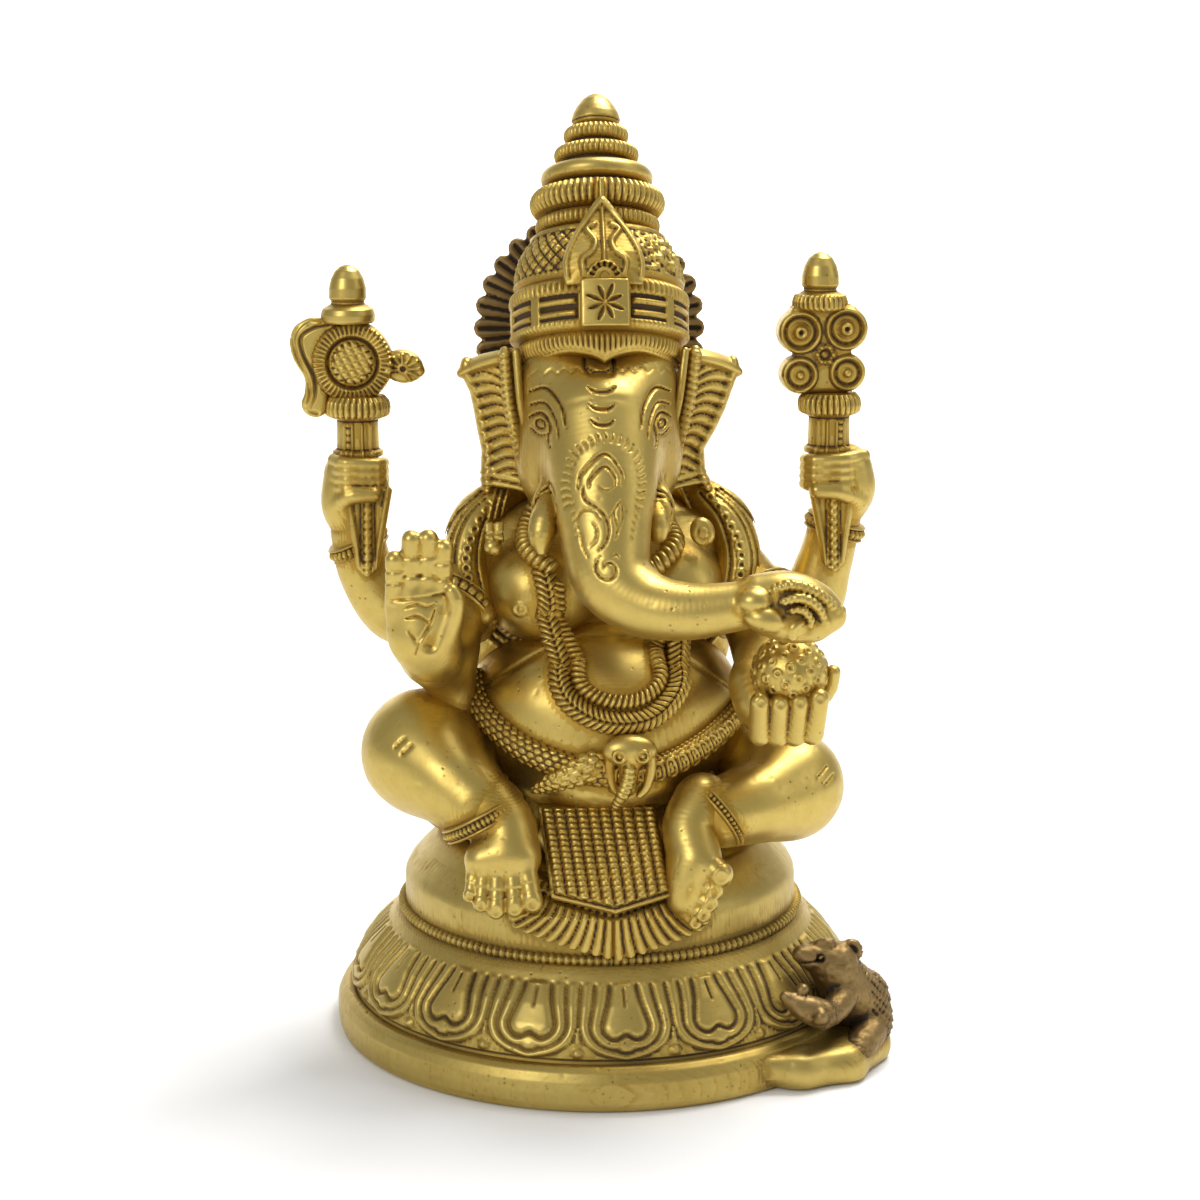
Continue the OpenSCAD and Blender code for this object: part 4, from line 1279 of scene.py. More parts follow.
ROUNDEL_AT = np.array([41.6, 0, 129.4])
ROUND = Relief((30, 116), (54, 142), 0.1)
ox, oz = ROUNDEL_AT[0], ROUNDEL_AT[2]
ROUNDELS = ((-4.4, 3.8, 4.1, True), (4.2, 4.4, 4.1, True), (-4.4, -4.2, 3.5, False), (4.5, -3.8, 3.5, False))
for dx, dz, r, eyed in ROUNDELS:
    ROUND.ring((ox + dx, oz + dz), r - 0.55, 0.55, 0.45)
    ROUND.ring((ox + dx, oz + dz), r - 1.35, 0.4, -0.5)
    if eyed:
        ROUND.ring((ox + dx, oz + dz), 0.95, 0.45, 0.35)
        ROUND.dot((ox + dx, oz + dz), 0.55, -0.9)
    else:
        ROUND.ring((ox + dx, oz + dz), 0.9, 0.4, -0.3)
for k in range(6):
    a = TAU * k / 6
    ROUND.dot((ox + 0.3 + 1.45 * math.cos(a), oz - 0.4 + 1.45 * math.sin(a)), 0.95, 0.8)
ROUND.ring((ox + 0.3, oz - 0.4), 0.75, 0.35, -0.35)


def make_roundels(p):
    """The emblem of four roundels, with a small mark in the middle."""
    x, y, z = p[:, 0], p[:, 1], p[:, 2]
    d = slab(p, (ox, 0, oz + 0.3), (5.4, 2.4, 8.0), None, 1.2)
    for dx, dz, r, eyed in ROUNDELS:
        rr = np.hypot(x - ox - dx, z - oz - dz)
        d = np.minimum(d, smax(rr - r, np.abs(y) - 2.7, 0.9))
        d = np.minimum(d, egg(p, (ox + dx, 0, oz + dz), (r - 1.5, 3.7 if eyed else 3.5, r - 1.5)))
    d = smin(d, slab(p, (ox, 0, oz + 7.6), (6.0, 2.6, 1.2), None, 1.0), 0.8)
    return d - ROUND.sample(x, z) * smooth(1.2, 1.9, np.abs(y)) - rough(p, 0.08, 41)


piece("disc_staff", "disc_collar", make_collar(-1, "disc_collar"))
piece("roundel_staff", "roundel_collar", make_collar(1, "roundel_collar"))
piece("disc_tip", "disc_finial", make_finial("disc_finial", False))
piece("roundel_tip", "roundel_finial", make_finial("roundel_finial", True))
carve("disc", "disc_emblem", make_disc, 0.22)
carve("roundels", "roundel_emblem", make_roundels, 0.22)


# ---------------------------------------------------------------- head, trunk and tusks

def head_shape(p):
    """The smooth head and trunk, before the engraving."""
    d = egg(p, (-1, -6, 118), (16.2, 14.5, 16))
    d = smin(d, egg(p, (-1, -12, 113), (13.2, 12.5, 15)), 4)
    for side in (-1, 1):
        d = smin(d, egg(p, (-1 + side * 7.0, -12.5, 125), (7.2, 8.2, 8.4)), 3.5)
        d = smin(d, egg(p, (-1 + side * 10.5, -13.5, 112), (4.0, 6.0, 9)), 4)
    trunk, _ = tube(p, TRUNK, 60)
    return smin(d, trunk, 4.5)


FACE = Relief((-20, 78), (46, 134), 0.1)
EYE_MARKS = [(-11.6, 1.0), (9.3, -1.0)]
FACE.stroke([(-3.9, 130), (-3.9, 128.6), (-3.4, 127.9), (0.6, 127.9), (1.1, 128.6), (1.1, 130)], 0.5, -0.62)
for z, half in ((128.9, 2.3), (125.9, 2.4), (123.1, 2.3), (120.5, 2.0)):
    FACE.stroke([(-1.4 - half, z), (-1.4 - half * 0.45, z - 0.75), (-1.4 + half * 0.45, z - 0.75),
                 (-1.4 + half, z)], 0.5, -0.62, True, 12)
for ex, way in EYE_MARKS:
    FACE.stroke([(ex - way * 2.3, 124.1), (ex + way * 0.8, 125.1), (ex + way * 3.2, 122.4),
                 (ex + way * 3.9, 118.9)], 0.48, -0.6, True, 24)
    FACE.stroke([(ex - way * 2.3, 121.8), (ex + way * 0.5, 122.6), (ex + way * 2.2, 120.0),
                 (ex + way * 2.7, 117.0)], 0.45, -0.5, True, 24)
    FACE.stroke([(ex - way * 2.2, 119.8), (ex, 120.8), (ex + way * 1.3, 118.9), (ex + way * 0.9, 116.8),
                 (ex + way * 1.2, 115.2)], 0.5, -0.625, True, 24)
    FACE.stroke([(ex - way * 2.1, 118.0), (ex - way * 0.6, 117.0), (ex + way * 0.9, 117.4)], 0.38, -0.45,
                True, 16)
    FACE.ring((ex - way * 0.3, 118.9), 0.75, 0.38, -0.5)
zig = [(-13.5 + 1.15 * k, 128.4 + (0.55 if k % 2 else -0.35) + 0.012 * (k - 12) ** 2 * -0.6)
       for k in range(24)]
FACE.stroke(zig, 0.32, -0.18)
LEAF = spline([(-6.9, 106.2), (-7.2, 110.0), (-5.6, 114.6), (-1.0, 117.0), (3.2, 114.8), (4.5, 110.4),
               (4.0, 106.4)], 25)
for i, (x, z) in enumerate(LEAF):
    away = np.array([x + 1.3, z - 109.5])
    away /= np.linalg.norm(away)
    tilt = np.array([away[1], -away[0]]) * 0.35
    FACE.stroke([(x, z), (x + 0.55 * away[0] + tilt[0], z + 0.55 * away[1] + tilt[1]),
                 (x + 1.55 * away[0] + tilt[0] * 0.4, z + 1.55 * away[1] + tilt[1] * 0.4)], 0.33, -0.42,
                True, 8)
for scale in (1.0, 0.62):
    c = np.array([-1.3, 109.6])
    arch = np.array([(-4.6, -0.6), (-3.9, 2.2), (0, 5.4), (2.9, 2.4), (3.0, 0.2)]) * scale + c
    FACE.stroke(arch, 0.5, -0.62, True, 26)
FACE.stroke([(-2.4, 109.6), (-1.2, 109.0), (0, 109.4)], 0.34, -0.4, True, 10)
FACE.stroke([(-5.2, 109.4), (-4.8, 107.4), (-3.0, 106.2), (-1.4, 104.6), (-0.8, 102.2), (-1.4, 100.2),
             (-2.6, 98.9)], 0.5, -0.62, True, 30)
FACE.stroke([(-6.4, 103.6), (-5.4, 105.4), (-3.4, 105.6), (-1.9, 104.0)], 0.4, -0.48, True, 20)
FACE.stroke([(-6.2, 103.4), (-5.6, 101.4), (-5.3, 99.4), (-4.4, 97.6)], 0.38, -0.42, True, 16)
FACE.stroke([(-3.6, 103.6), (-2.8, 102.4), (-3.0, 100.6), (-4.2, 99.4)], 0.36, -0.4, True, 14)
FACE.stroke([(1.4, 107.2), (0.2, 105.2), (0.7, 102.8), (0.3, 100.8)], 0.45, -0.5, True, 18)
FACE.stroke([(1.5, 107.1), (1.7, 104.4), (0.5, 101.0)], 0.38, -0.42, True, 18)
FACE.stroke([(-1.0, 103.2), (-0.4, 104.8), (0.4, 105.6)], 0.36, -0.4, True, 12)
FACE.stroke(spiral((-1.1, 95.9), 2.3, 0.7, 118, 1.15, 36), 0.45, -0.55, True)
FACE.stroke([(-0.4, 97.8), (0.4, 98.4), (0.9, 97.6)], 0.36, -0.4, True, 10)
for k in range(5):
    FACE.stroke([(-6.6 + 0.2 * k, 106.6 - 1.25 * k), (-7.4 + 0.25 * k, 106.0 - 1.25 * k)], 0.3, -0.3, True, 6)
    FACE.stroke([(4.2 - 0.3 * k, 106.0 - 1.2 * k), (4.8 - 0.35 * k, 105.2 - 1.2 * k)], 0.3, -0.3, True, 6)


def curl_shape(p):
    """The trunk's end: it rolls down and back to a tip of two lobes, under ribbed bands."""
    d, _ = tube(p, [[25, -42.6, 91, 4.2], [30, -43.2, 91.6, 4.1], [34.5, -43.2, 90.2, 3.6],
                    [37.4, -43.6, 87.9, 2.7]], 30)
    low, _ = tube(p, [[37.0, -43.6, 88.2, 2.5], [34.4, -44.2, 86.6, 3.1], [30.6, -44.4, 86.6, 3.3],
                      [26.6, -44.8, 87.8, 3.3]], 30)
    d = smin(d, low, 1.0)
    d = smin(d, egg(p, (23.8, -45.6, 91.0), (3.2, 2.9, 2.5)), 0.3)
    d = smin(d, egg(p, (25.6, -46.4, 88.0), (3.9, 2.9, 2.5), turn_y(12)), 0.35)
    hollow, _ = tube(p, [[29.0, -48.2, 88.9, 0.9], [31.6, -48.6, 88.7, 1.1], [33.4, -48.0, 86.6, 0.9],
                         [31.6, -47.6, 84.6, 0.6]], 20)
    d = smax(d, -hollow, 0.4)
    for path in ([[26.8, -46.4, 92.9, 0.7], [30.0, -46.9, 94.0, 0.95], [34.6, -46.4, 92.3, 0.95],
                  [38.2, -45.2, 88.8, 0.8],
                  [38.4, -44.6, 86.6, 0.5]],
                 [[28.2, -47.7, 91.2, 0.6], [31.4, -47.9, 91.9, 0.8], [34.4, -47.3, 90.2, 0.85],
                  [36.2, -46.6, 87.0, 0.6]],
                 [[29.6, -47.6, 89.6, 0.45], [31.8, -47.9, 89.8, 0.65], [33.3, -47.6, 88.1, 0.6],
                  [33.2, -47.2, 86.6, 0.4]]):
        band, run = tube(p, path, 24)
        d = smin(d, band - 0.3 * (ribs(run, 1.05, 0.7) - 0.45), 0.2)
    hook, _ = tube(p, [[31.8, -47.2, 87.6, 0.5], [30.4, -47.4, 86.6, 0.8], [30.2, -47.0, 85.0, 0.9]], 14)
    d = smin(d, hook, 0.2)
    return np.minimum(d, ball(p, (38.7, -44.6, 88.9), 1.2))


def make_head(p):
    """Head and trunk with eyes, brows and engraved scrolls."""
    x, y, z = p[:, 0], p[:, 1], p[:, 2]
    d = head_shape(p)
    d = smin(d, curl_shape(p), 0.8)
    for side in (-1, 1):
        socket, _ = tube(p, [[-1 + side * 9.6, -22, 108.5, 1.3], [-1 + side * 10.8, -25, 104.6, 2.0],
                               [-1 + side * 10.2, -26.5, 101.5, 2.2]], 8)
        d = smin(d, socket, 1.2)
    face = smooth(-6, -11, y) * (z > 92) + (z <= 92) * smooth(-36, -38, y) * (x < 6)
    d = d - FACE.sample(x, z) * face * (0.72 + 0.28 * smooth(116, 119, z))
    for k in range(2):
        right = ball(p, (-9.9 - 0.6 * k, -27, 105.6 - 1.7 * k), 3.4)
        d = d + 0.4 * ridge(right, 0.4) * (x < -9.2) * (z > 101) * (z < 110)
        left = ball(p, (8.2 + 0.5 * k, -27, 104.6 - 1.4 * k), 3.2)
        d = d + 0.4 * ridge(left, 0.4) * (x > 6.4) * (z > 100) * (z < 110)
    return d - rough(p, 0.08, 50)


def make_tusk(side):
    """Distance function of one tusk."""
    def shape(p):
        if side < 0:
            d, _ = tube(p, [[-10.6, -25.0, 105.0, 2.2], [-11.6, -27.5, 102.0, 2.7], [-12.2, -28.6, 99.6, 2.2],
                            [-12.2, -29.2, 97.4, 1.1]], 12)
        else:
            d, _ = tube(p, [[8.4, -25.0, 104.2, 2.1], [8.6, -27.6, 101.9, 2.2], [8.6, -28.4, 99.9, 1.6]], 10)
            d = smin(d, ring_of(p, (8.5, -26.6, 103.0), turn_x(38), 2.2, 0.5), 0.2)
        return d - rough(p, 0.08, 52 + side)
    return shape


carve("head_and_trunk", ("head", "trunk"), make_head, 0.28, 2.0)
carve("right_tusk_tip", "right_tusk", make_tusk(-1), 0.22, 8.0)
carve("left_tusk_tip", "left_tusk", make_tusk(1), 0.22, 8.0)


# ---------------------------------------------------------------- ears

def ear_sheet(outline, side, seed):
    """A fanned ear: wavy ridges across, with a thick rolled rim."""
    def shape(p):
        x, y, z = p[:, 0], p[:, 1], p[:, 2]
        t = np.clip((z - 103.5) / (131 - 103.5), -0.1, 1.1)
        inner = np.interp(t, outline[0], outline[1]).astype(np.float32)
        outer = np.interp(t, outline[0], outline[2]).astype(np.float32)
        u = (x - inner) / (outer - inner)
        plane = -8.5 + 5.0 * np.clip(u, 0, 1.2) ** 1.3 + 1.2 * np.sin(t * 5)
        across = np.maximum(side * (x - outer), side * (inner - x))
        f = smax(np.abs(y - plane) - 1.5, across, 0.8)
        f = smax(f, np.maximum(z - 131.2 + 3.0 * u * u, 104.0 - z + 0.9 * np.sin(u * 3)), 2.2)
        wave = z - 2.6 * u * (t - 0.55) * 2.0 - 1.5 * np.sin(u * 2.6)
        lift = (0.62 * (ribs(wave + 0.25 * np.sin(u * 9), 1.8, 0.7) - 0.5) * smooth(0.02, 0.15, u)
                * smooth(1.04, 0.9, u))
        lift = lift * (t > 0.16) * smooth(0.0, -1.2, z - 128.6 + 3.0 * u * u)
        low = 0.5 * (ribs(z - 1.6 * u, 1.7, 0.8) - 0.4) * (t <= 0.16)
        rim = np.maximum(0.7 * ridge(u - 0.95, 0.15), 1.0 * ridge(z - 129.6 + 3.0 * u * u, 1.6))
        return f * 0.85 - np.where(y < plane, lift + low + rim, 0.3 * lift) - rough(p, 0.12, seed)
    return shape


EAR_ROWS = np.array([0, 0.16, 0.3, 0.44, 0.57, 0.7, 0.84, 1.0])
RIGHT_EAR = (EAR_ROWS, np.array([-12.5, -12.1, -12.2, -12.9, -13.8, -14.8, -15.4, -15.6]),
             np.array([-21.9, -22.1, -21.9, -22.7, -23.3, -24.0, -25.8, -26.2]))
LEFT_EAR = (EAR_ROWS, np.array([10.8, 10.2, 10.6, 11.7, 12.9, 13.6, 14.2, 14.6]),
            np.array([20.8, 19.2, 19.0, 21.2, 22.7, 23.8, 25.1, 25.4]))


def make_strips(p):
    """A beaded strip and a plain band in front of each ear."""
    best = np.full(len(p), 9.0, np.float32)
    for side, top, foot in ((-1, (-18.0, -12.6, 131), (-15.2, -15.2, 112)),
                            (1, (16.6, -12.6, 131), (12.6, -15.2, 112))):
        mid = ((top[0] + foot[0]) / 2 + side * 0.6, (top[1] + foot[1]) / 2 - 0.3, (top[2] + foot[2]) / 2)
        bead, run = tube(p, [[*top, 1.15], [*mid, 1.15], [*foot, 1.0]], 14)
        bead = bead - 0.4 * (ribs(run, 1.2, 0.7) - 0.6)
        inner = [[q[0] - side * 2.0, q[1] - 1.6, q[2], 0.75] for q in (top, mid, foot)]
        band, _ = tube(p, inner, 10)
        best = np.minimum(best, np.minimum(bead, band))
    return best - rough(p, 0.06, 60)


carve("right_ear_fan", "right_ear", ear_sheet(RIGHT_EAR, -1, 61), 0.27, 5.0)
carve("left_ear_fan", "left_ear", ear_sheet(LEFT_EAR, 1, 62), 0.27, 5.0)
carve("ear_bead_strips", "ear_strips", make_strips, 0.24, 6.0)


# ---------------------------------------------------------------- shawls over the shoulders

SHAWL = Relief((-34, 78), (34, 112), 0.1)
for side in (-1, 1):
    for k, shift in enumerate((0.0, 1.15, 2.1)):
        SHAWL.stroke([(side * (20.2 + shift), 104.2), (side * (24.6 + shift), 100.6),
                      (side * (26.9 + shift), 96.2), (side * (27.4 + shift), 91.0),
                      (side * (25.6 + shift), 85.6)], 0.42, -0.5, count=30)
    for k in range(11):
        t = k / 10
        x = 20.0 + 5.4 * math.sin(math.pi * min(1, t * 0.78))
        z = 103.0 - 16.5 * t
        SHAWL.ring((side * x, z), 0.72, 0.34, 0.36)
        SHAWL.dot((side * x, z), 0.35, -0.3)
    SHAWL.stroke([(side * 18.4, 103.6), (side * 22.0, 99.0), (side * 23.4, 93.0), (side * 22.6, 87.5)], 0.4,
                 -0.5, count=24)
for x0 in (-18.6, -17.4, -19.8):
    SHAWL.stroke([(x0 + 0.6, 106.0), (x0 - 0.6, 102.0), (x0 - 1.2, 99.6)], 0.45, 0.5, count=12)
SHAWL.stroke([(14.2, 105.4), (15.6, 102.2), (16.8, 99.8)], 0.8, 0.7, count=12)


def shawl_shape(side):
    """Distance function of the shawl on one shoulder, with its rope-like end behind."""
    def shape(p):
        x, y, z = p[:, 0] * side, p[:, 1], p[:, 2]
        q = np.stack([x, y, z], 1)
        d, _ = tube(q, [[15, 2, 104.2, 3.0], [19.5, -2, 102.4, 3.5], [23.6, -4.8, 99.0, 4.2],
                        [25.4, -8, 93.2, 4.4], [24.4, -12, 87.0, 3.7], [22.2, -14, 83.0, 2.2]], 34)
        back, _ = tube(q, [[15.5, 3, 102.0, 3.0], [18.0, 8.0, 98.5, 3.3], [19.6, 11.0, 92.5, 3.4],
                           [19.4, 12.4, 86.0, 3.0], [18.6, 12.8, 81.5, 1.8]], 24)
        d = smin(d, back, 2.5)
        d = smax(d, -(chest_shape(p) + 1.4), 0.5)
        lift = SHAWL.sample(p[:, 0], z) * (y < 1)
        rings = 0.3 * (ribs(z - 0.5 * x, 1.9, 0.7) - 0.5) * smooth(3, 5, y)
        d = d - lift - rings
        if side < 0:
            buckle = slab(q, (20.2, -15.0, 98.2), (1.75, 1.3, 1.75), turn_x(-28), 0.4)
            bulb = egg(q, (20.5, -15.8, 95.6), (1.7, 1.5, 1.6))
            d = np.minimum(d, np.minimum(buckle + 0.35
                                         * np.minimum(1, ridge(x - 20.2, 0.35) + ridge(z - 98.2, 0.35)),
                                         bulb))
        else:
            drop = egg(q, (17.8, -15.6, 98.0), (2.3, 1.7, 2.9), turn_y(-18))
            seam = ridge(np.hypot(x - 17.8, (z - 98.0) * 0.8) - 1.1, 0.4)
            d = smin(d, drop + 0.3 * seam, 0.3)
        return d - rough(p, 0.12, 70 + side)
    return shape


carve("right_shawl_cloth", "right_shawl", shawl_shape(-1), 0.27, 9.0, low=(-35, -23, 76), high=(-8, 20, 112))
carve("left_shawl_cloth", "left_shawl", shawl_shape(1), 0.27, 9.0, low=(8, -23, 76), high=(35, 20, 112))
armlets = [make_armlets(-1), make_armlets(1)]
offset = len(armlets[0][0])
piece("armlet_bands", "armlets",
      (np.vstack([a[0] for a in armlets]), [armlets[0][1][0], armlets[1][1][0] + offset]))


# ---------------------------------------------------------------- crown

CROWN_AT, CROWN_TURN = np.array([-0.5, -8.0, 130.0]), turn_x(-17)
BAND_R = 16.2


def crown_part(name, node, profile, rows, cols, relief):
    """Turns one part of the crown round its tilted axis."""
    piece(name, node, lathe(profile, rows, cols, relief, CROWN_AT, CROWN_TURN))


def around(t):
    """The angle counted from the front, from -pi to pi."""
    return (t + math.pi) % TAU - math.pi


def rim_relief(t, s, r, z):
    """Marks of the crown's lower roll."""
    a = around(t)
    ring = smooth(13.6, 14.2, r)
    lines = 0.55 * (ribs(t * 24, math.pi / 2, 0.7) - 0.55) * smooth(-1.9, -1.4, z) * smooth(1.0, 0.6, z)
    dip = 0.35 * ridge(z + 2.0 + 0.6 * np.cos(a), 0.6)
    return ring * (lines - dip)


def make_crown_rim():
    """The lower roll of the crown; its edge dips to a cusp over the forehead."""
    profile = [[0, -3.0], [12.6, -3.0], [14.0, -2.9], [14.5, -2.4], [14.6, -1.7], [14.9, -0.9], [15.1, 0.1],
               [14.9, 1.0], [14.3, 1.7], [13.4, 2.2], [0, 2.2]]
    verts, faces = lathe(profile, 70, 760, rim_relief)
    t = np.arctan2(verts[:, 0], -verts[:, 1])
    lower = smooth(1.0, -3.0, verts[:, 2]) * smooth(9, 13, np.hypot(verts[:, 0], verts[:, 1]))
    cusp = (-1.55 * np.exp(-np.abs(t) / 0.14) + 0.75 * np.exp(-((np.abs(t) - 0.5) / 0.32) ** 2) - 0.5
            * smooth(0.9, 1.4, np.abs(t)))
    verts[:, 2] += lower * cusp
    return verts @ CROWN_TURN.T + CROWN_AT, faces


def band_relief(t, s, r, z):
    """Panels and grooves of the crown's band."""
    a = around(t)
    x = a * BAND_R
    out = np.zeros_like(t)
    side = smooth(14.9, 15.5, r)
    top = 0.5 * (ribs(x, 1.25, 0.7) - 0.5) * smooth(8.2, 8.6, z) * smooth(10.6, 10.2, z)
    out = out + top
    low = 0.35 * (ribs(x, 1.05, 0.7) - 0.5) * smooth(3.1, 2.8, z) * smooth(2.0, 2.3, z)
    out = out + low
    for begin, end in ((4.6, 12.8), (14.6, 22.4), (24.2, 32.0), (33.8, 41.6), (43.4, 50.0)):
        ax = np.abs(x)
        inside = smooth(begin, begin + 0.35, ax) * smooth(end, end - 0.35, ax)
        cut = inside * smooth(3.2, 3.5, z) * smooth(8.1, 7.8, z)
        bars = ridge(z - 6.55, 0.75) + ridge(z - 4.35, 0.75)
        out = out - 0.85 * cut * (1 - np.minimum(1, 1.4 * bars * smooth(begin + 0.5, begin + 0.9, ax)))
    return side * out


BAND_PROFILE = [[0, 1.2], [14.6, 1.2], [15.7, 1.7], [16.3, 2.4], [16.4, 6.0], [16.3, 9.4], [16.0, 10.4],
                [15.3, 11.1], [14.0, 11.4], [0, 11.4]]


def dome_relief(t, s, r, z):
    """The crown dome, lattice on one side of the front and stippled on the other."""
    a = around(t)
    x = a * 13.5
    area = smooth(12.0, 12.6, z) * smooth(20.6, 20.0, z)
    u, v = (x + (z - 12) * 0.95) / 2.3, (x - (z - 12) * 0.95) / 2.3
    mesh = np.minimum(1, ridge(u - np.round(u), 0.17) + ridge(v - np.round(v), 0.17))
    knobs = ridge(np.hypot(u - np.floor(u) - 0.5, v - np.floor(v) - 0.5), 0.4)
    lattice = -0.42 * mesh + 0.25 * knobs
    p = np.stack([r * np.sin(t), -r * np.cos(t), z], -1).reshape(-1, 3)
    stipple = (0.7 * hash_noise(p, 0.75, 80)).reshape(t.shape) * 0.8
    edge = 0.5 * ridge(z - 20.9, 0.5) + 0.3 * ridge(z - 12.0, 0.5)
    return area * np.where(a < 0.05, lattice, np.where(np.abs(a) < 2.4, stipple, lattice)) + edge


def tiers_relief(t, s, r, z):
    """Upright ribs on four of the rings: height, count, share cut in, stretch of z, and least radius."""
    out = np.zeros_like(t)
    for high, count, cut, low, low_full, top, top_full, least in (
            (0.55, 29, 0.55, 25.4, 25.9, 30.2, 29.8, 10.6), (0.4, 34, 0.5, 22.2, 22.6, 24.8, 24.4, 9.5),
            (0.38, 24, 0.5, 35.6, 36.0, 38.4, 38.0, 6.2), (0.32, 18, 0.5, 39.3, 39.7, 42.2, 41.9, 4.6)):
        ribbed = high * (ribs(t * count, math.pi, 0.8) - cut)
        out = out + ribbed * smooth(low, low_full, z) * smooth(top, top_full, z) * (r > least)
    return out


def torus_profile(centre_z, half, radius, bulge, count=7):
    """Outer side of a rounded ring, from its lower to its upper edge."""
    a = np.linspace(-80, 80, count)
    return [[radius - bulge + bulge * math.cos(math.radians(k)),
             centre_z + half * math.sin(math.radians(k)) / math.sin(math.radians(80))] for k in a]


TIERS = [[0, 21.0], [9.8, 21.0]] + torus_profile(23.5, 1.5, 11.3, 1.2) + [[9.6, 25.2]] \
    + torus_profile(27.8, 2.3, 12.3, 2.2) + [[9.0,
                                              30.5]] + torus_profile(32.6, 1.8, 10.4, 1.9) + [[6.6, 34.9]] \
    + torus_profile(37.0, 1.5, 7.7, 1.5) + [[5.0,
                                             38.9]] + torus_profile(40.7, 1.45, 5.9,
                                                                    1.3) + [[3.6, 42.6], [0, 42.9]]
piece("crown_roll", "crown_rim", make_crown_rim())
crown_part("crown_headband", "crown_band", BAND_PROFILE, 100, 900, band_relief)
crown_part("crown_bulb", "crown_dome", [[0, 10.8], [15.0, 10.8], [15.5, 12.2], [15.3, 14.5], [14.6, 17],
                                        [13.3, 19.2], [12.2, 20.6], [11.7, 21.6], [0, 21.8]], 90, 900,
           dome_relief)
crown_part("crown_rings", "crown_tiers", TIERS, 170, 560, tiers_relief)
crown_part("crown_acorn", "crown_finial", [[0, 42.4], [3.9, 42.4], [4.4, 42.9], [4.55, 43.7], [4.3, 44.8],
                                           [3.7, 46.0],
                                           [2.7, 47.4], [1.6, 48.3], [0.6, 48.75], [0, 48.8]], 60, 220,
           lambda t, s, r, z: -0.2 * ridge(z - 43.3, 0.4) * (r > 4))


def crown_local(p):
    """Points in the crown's tilted frame."""
    return local(p, CROWN_AT, CROWN_TURN)


STAR = Relief((-8, -2), (8, 14), 0.08)
for k in range(8):
    a = math.radians(22.5 + 45 * k)
    length = 3.4 if k % 2 else 3.0
    STAR.stroke([(0.5 * math.cos(a), 5.6 + 0.5 * math.sin(a)),
                 (length * math.cos(a), 5.6 + length * math.sin(a))], 0.62, -0.62, True, 10)


def make_star_plate(p):
    """The square plate with an eight-pointed star."""
    q = crown_local(p)
    bend = 0.02 * q[:, 0] ** 2
    f = slab(np.stack([q[:, 0], q[:, 1] - bend, q[:, 2]], 1), (0, -16.6, 5.6), (4.35, 1.7, 4.3), None, 0.45)
    return f - STAR.sample(q[:, 0], q[:, 2]) * (q[:, 1] < -16.8) - rough(p, 0.06, 81)


CREST = Relief((-9, 7), (9, 28), 0.08)
for side in (-1, 1):
    CREST.stroke([(side * 1.5, 20.6), (side * 2.9, 19.6), (side * 1.5, 17.2), (side * 2.0, 15.2),
                  (side * 3.9, 13.4), (side * 3.6, 10.6)], 0.75, 0.65, count=40)
    CREST.stroke([(side * 2.6, 21.2), (side * 4.1, 19.0), (side * 2.8, 16.8), (side * 5.2, 14.0),
                  (side * 5.2, 10.4)], 0.45, -0.5, count=36)
    CREST.stroke([(0, 25.2), (side * 2.6, 21.8), (side * 5.2, 17.6), (side * 6.7, 13.6),
                  (side * 6.6, 10.4)], 0.6, 0.5, count=36)
for r in (1.5, 2.7):
    CREST.stroke(arc((0, 10.2), r, 0, 180, 18), 0.55, 0.6)
for k in range(7):
    a = math.radians(15 + 25 * k)
    CREST.stroke([(2.0 * math.cos(a), 10.2 + 2.0 * math.sin(a)),
                  (2.5 * math.cos(a), 10.2 + 2.5 * math.sin(a))], 0.3, -0.4)
CREST.stroke([(0, 13.4), (0, 23.6)], 0.5, 0.5)


def make_crest(p):
    """The pointed leaf over the star plate."""
    q = crown_local(p)
    x, z = q[:, 0], q[:, 2]
    width = np.interp(z, [9.4, 11.0, 13.4, 16.5, 19.5, 22.5, 24.5, 25.9],
                      [6.7, 7.0, 7.2, 6.3, 4.7, 2.9, 1.5, 0.3])
    front = (-np.interp(z, [9, 12, 15, 18, 21, 23, 26], [16.8, 17.0, 16.5, 15.2, 13.7, 13.0, 13.0])
             + 0.022 * x * x)
    f = np.maximum(np.abs(x) - width, np.abs(q[:, 1] - front - 1.0) - 1.5)
    f = smax(f, 9.2 - z, 0.3)
    return 0.85 * (f - 0.1) - CREST.sample(x, z) * (q[:, 1] < front + 0.3) - rough(p, 0.06, 82)


def make_halo(p):
    """The toothed disc behind the head."""
    low, high = corners("halo")
    at = (low + high) / 2
    x, y, z = p[:, 0] - at[0], p[:, 1] - at[1], p[:, 2] - at[2]
    r, a = np.hypot(x, z), np.arctan2(x, z)
    teeth = np.abs((a * 30 / TAU) % 1 - 0.5) * 2
    rim = 22.2 - 1.7 * teeth
    d = np.maximum(r - rim, np.abs(y) - 1.4)
    spokes = 0.5 * (ribs(a * 30, math.pi, 0.8) - 0.5) * smooth(14.5, 15.5, r)
    ring = 0.6 * ridge(r - 14.4, 0.9)
    return 0.8 * d - (spokes + ring) * smooth(0.5, 1.2, np.abs(y)) - rough(p, 0.15, 83)


carve("star_badge", "star_plate", make_star_plate, 0.2, 1.6)
carve("crest_flame", "crest_leaf", make_crest, 0.2, 1.8)
carve("rayed_halo", "halo", make_halo, 0.36, 1.6, slot="aged_brass")


# ---------------------------------------------------------------- mouse

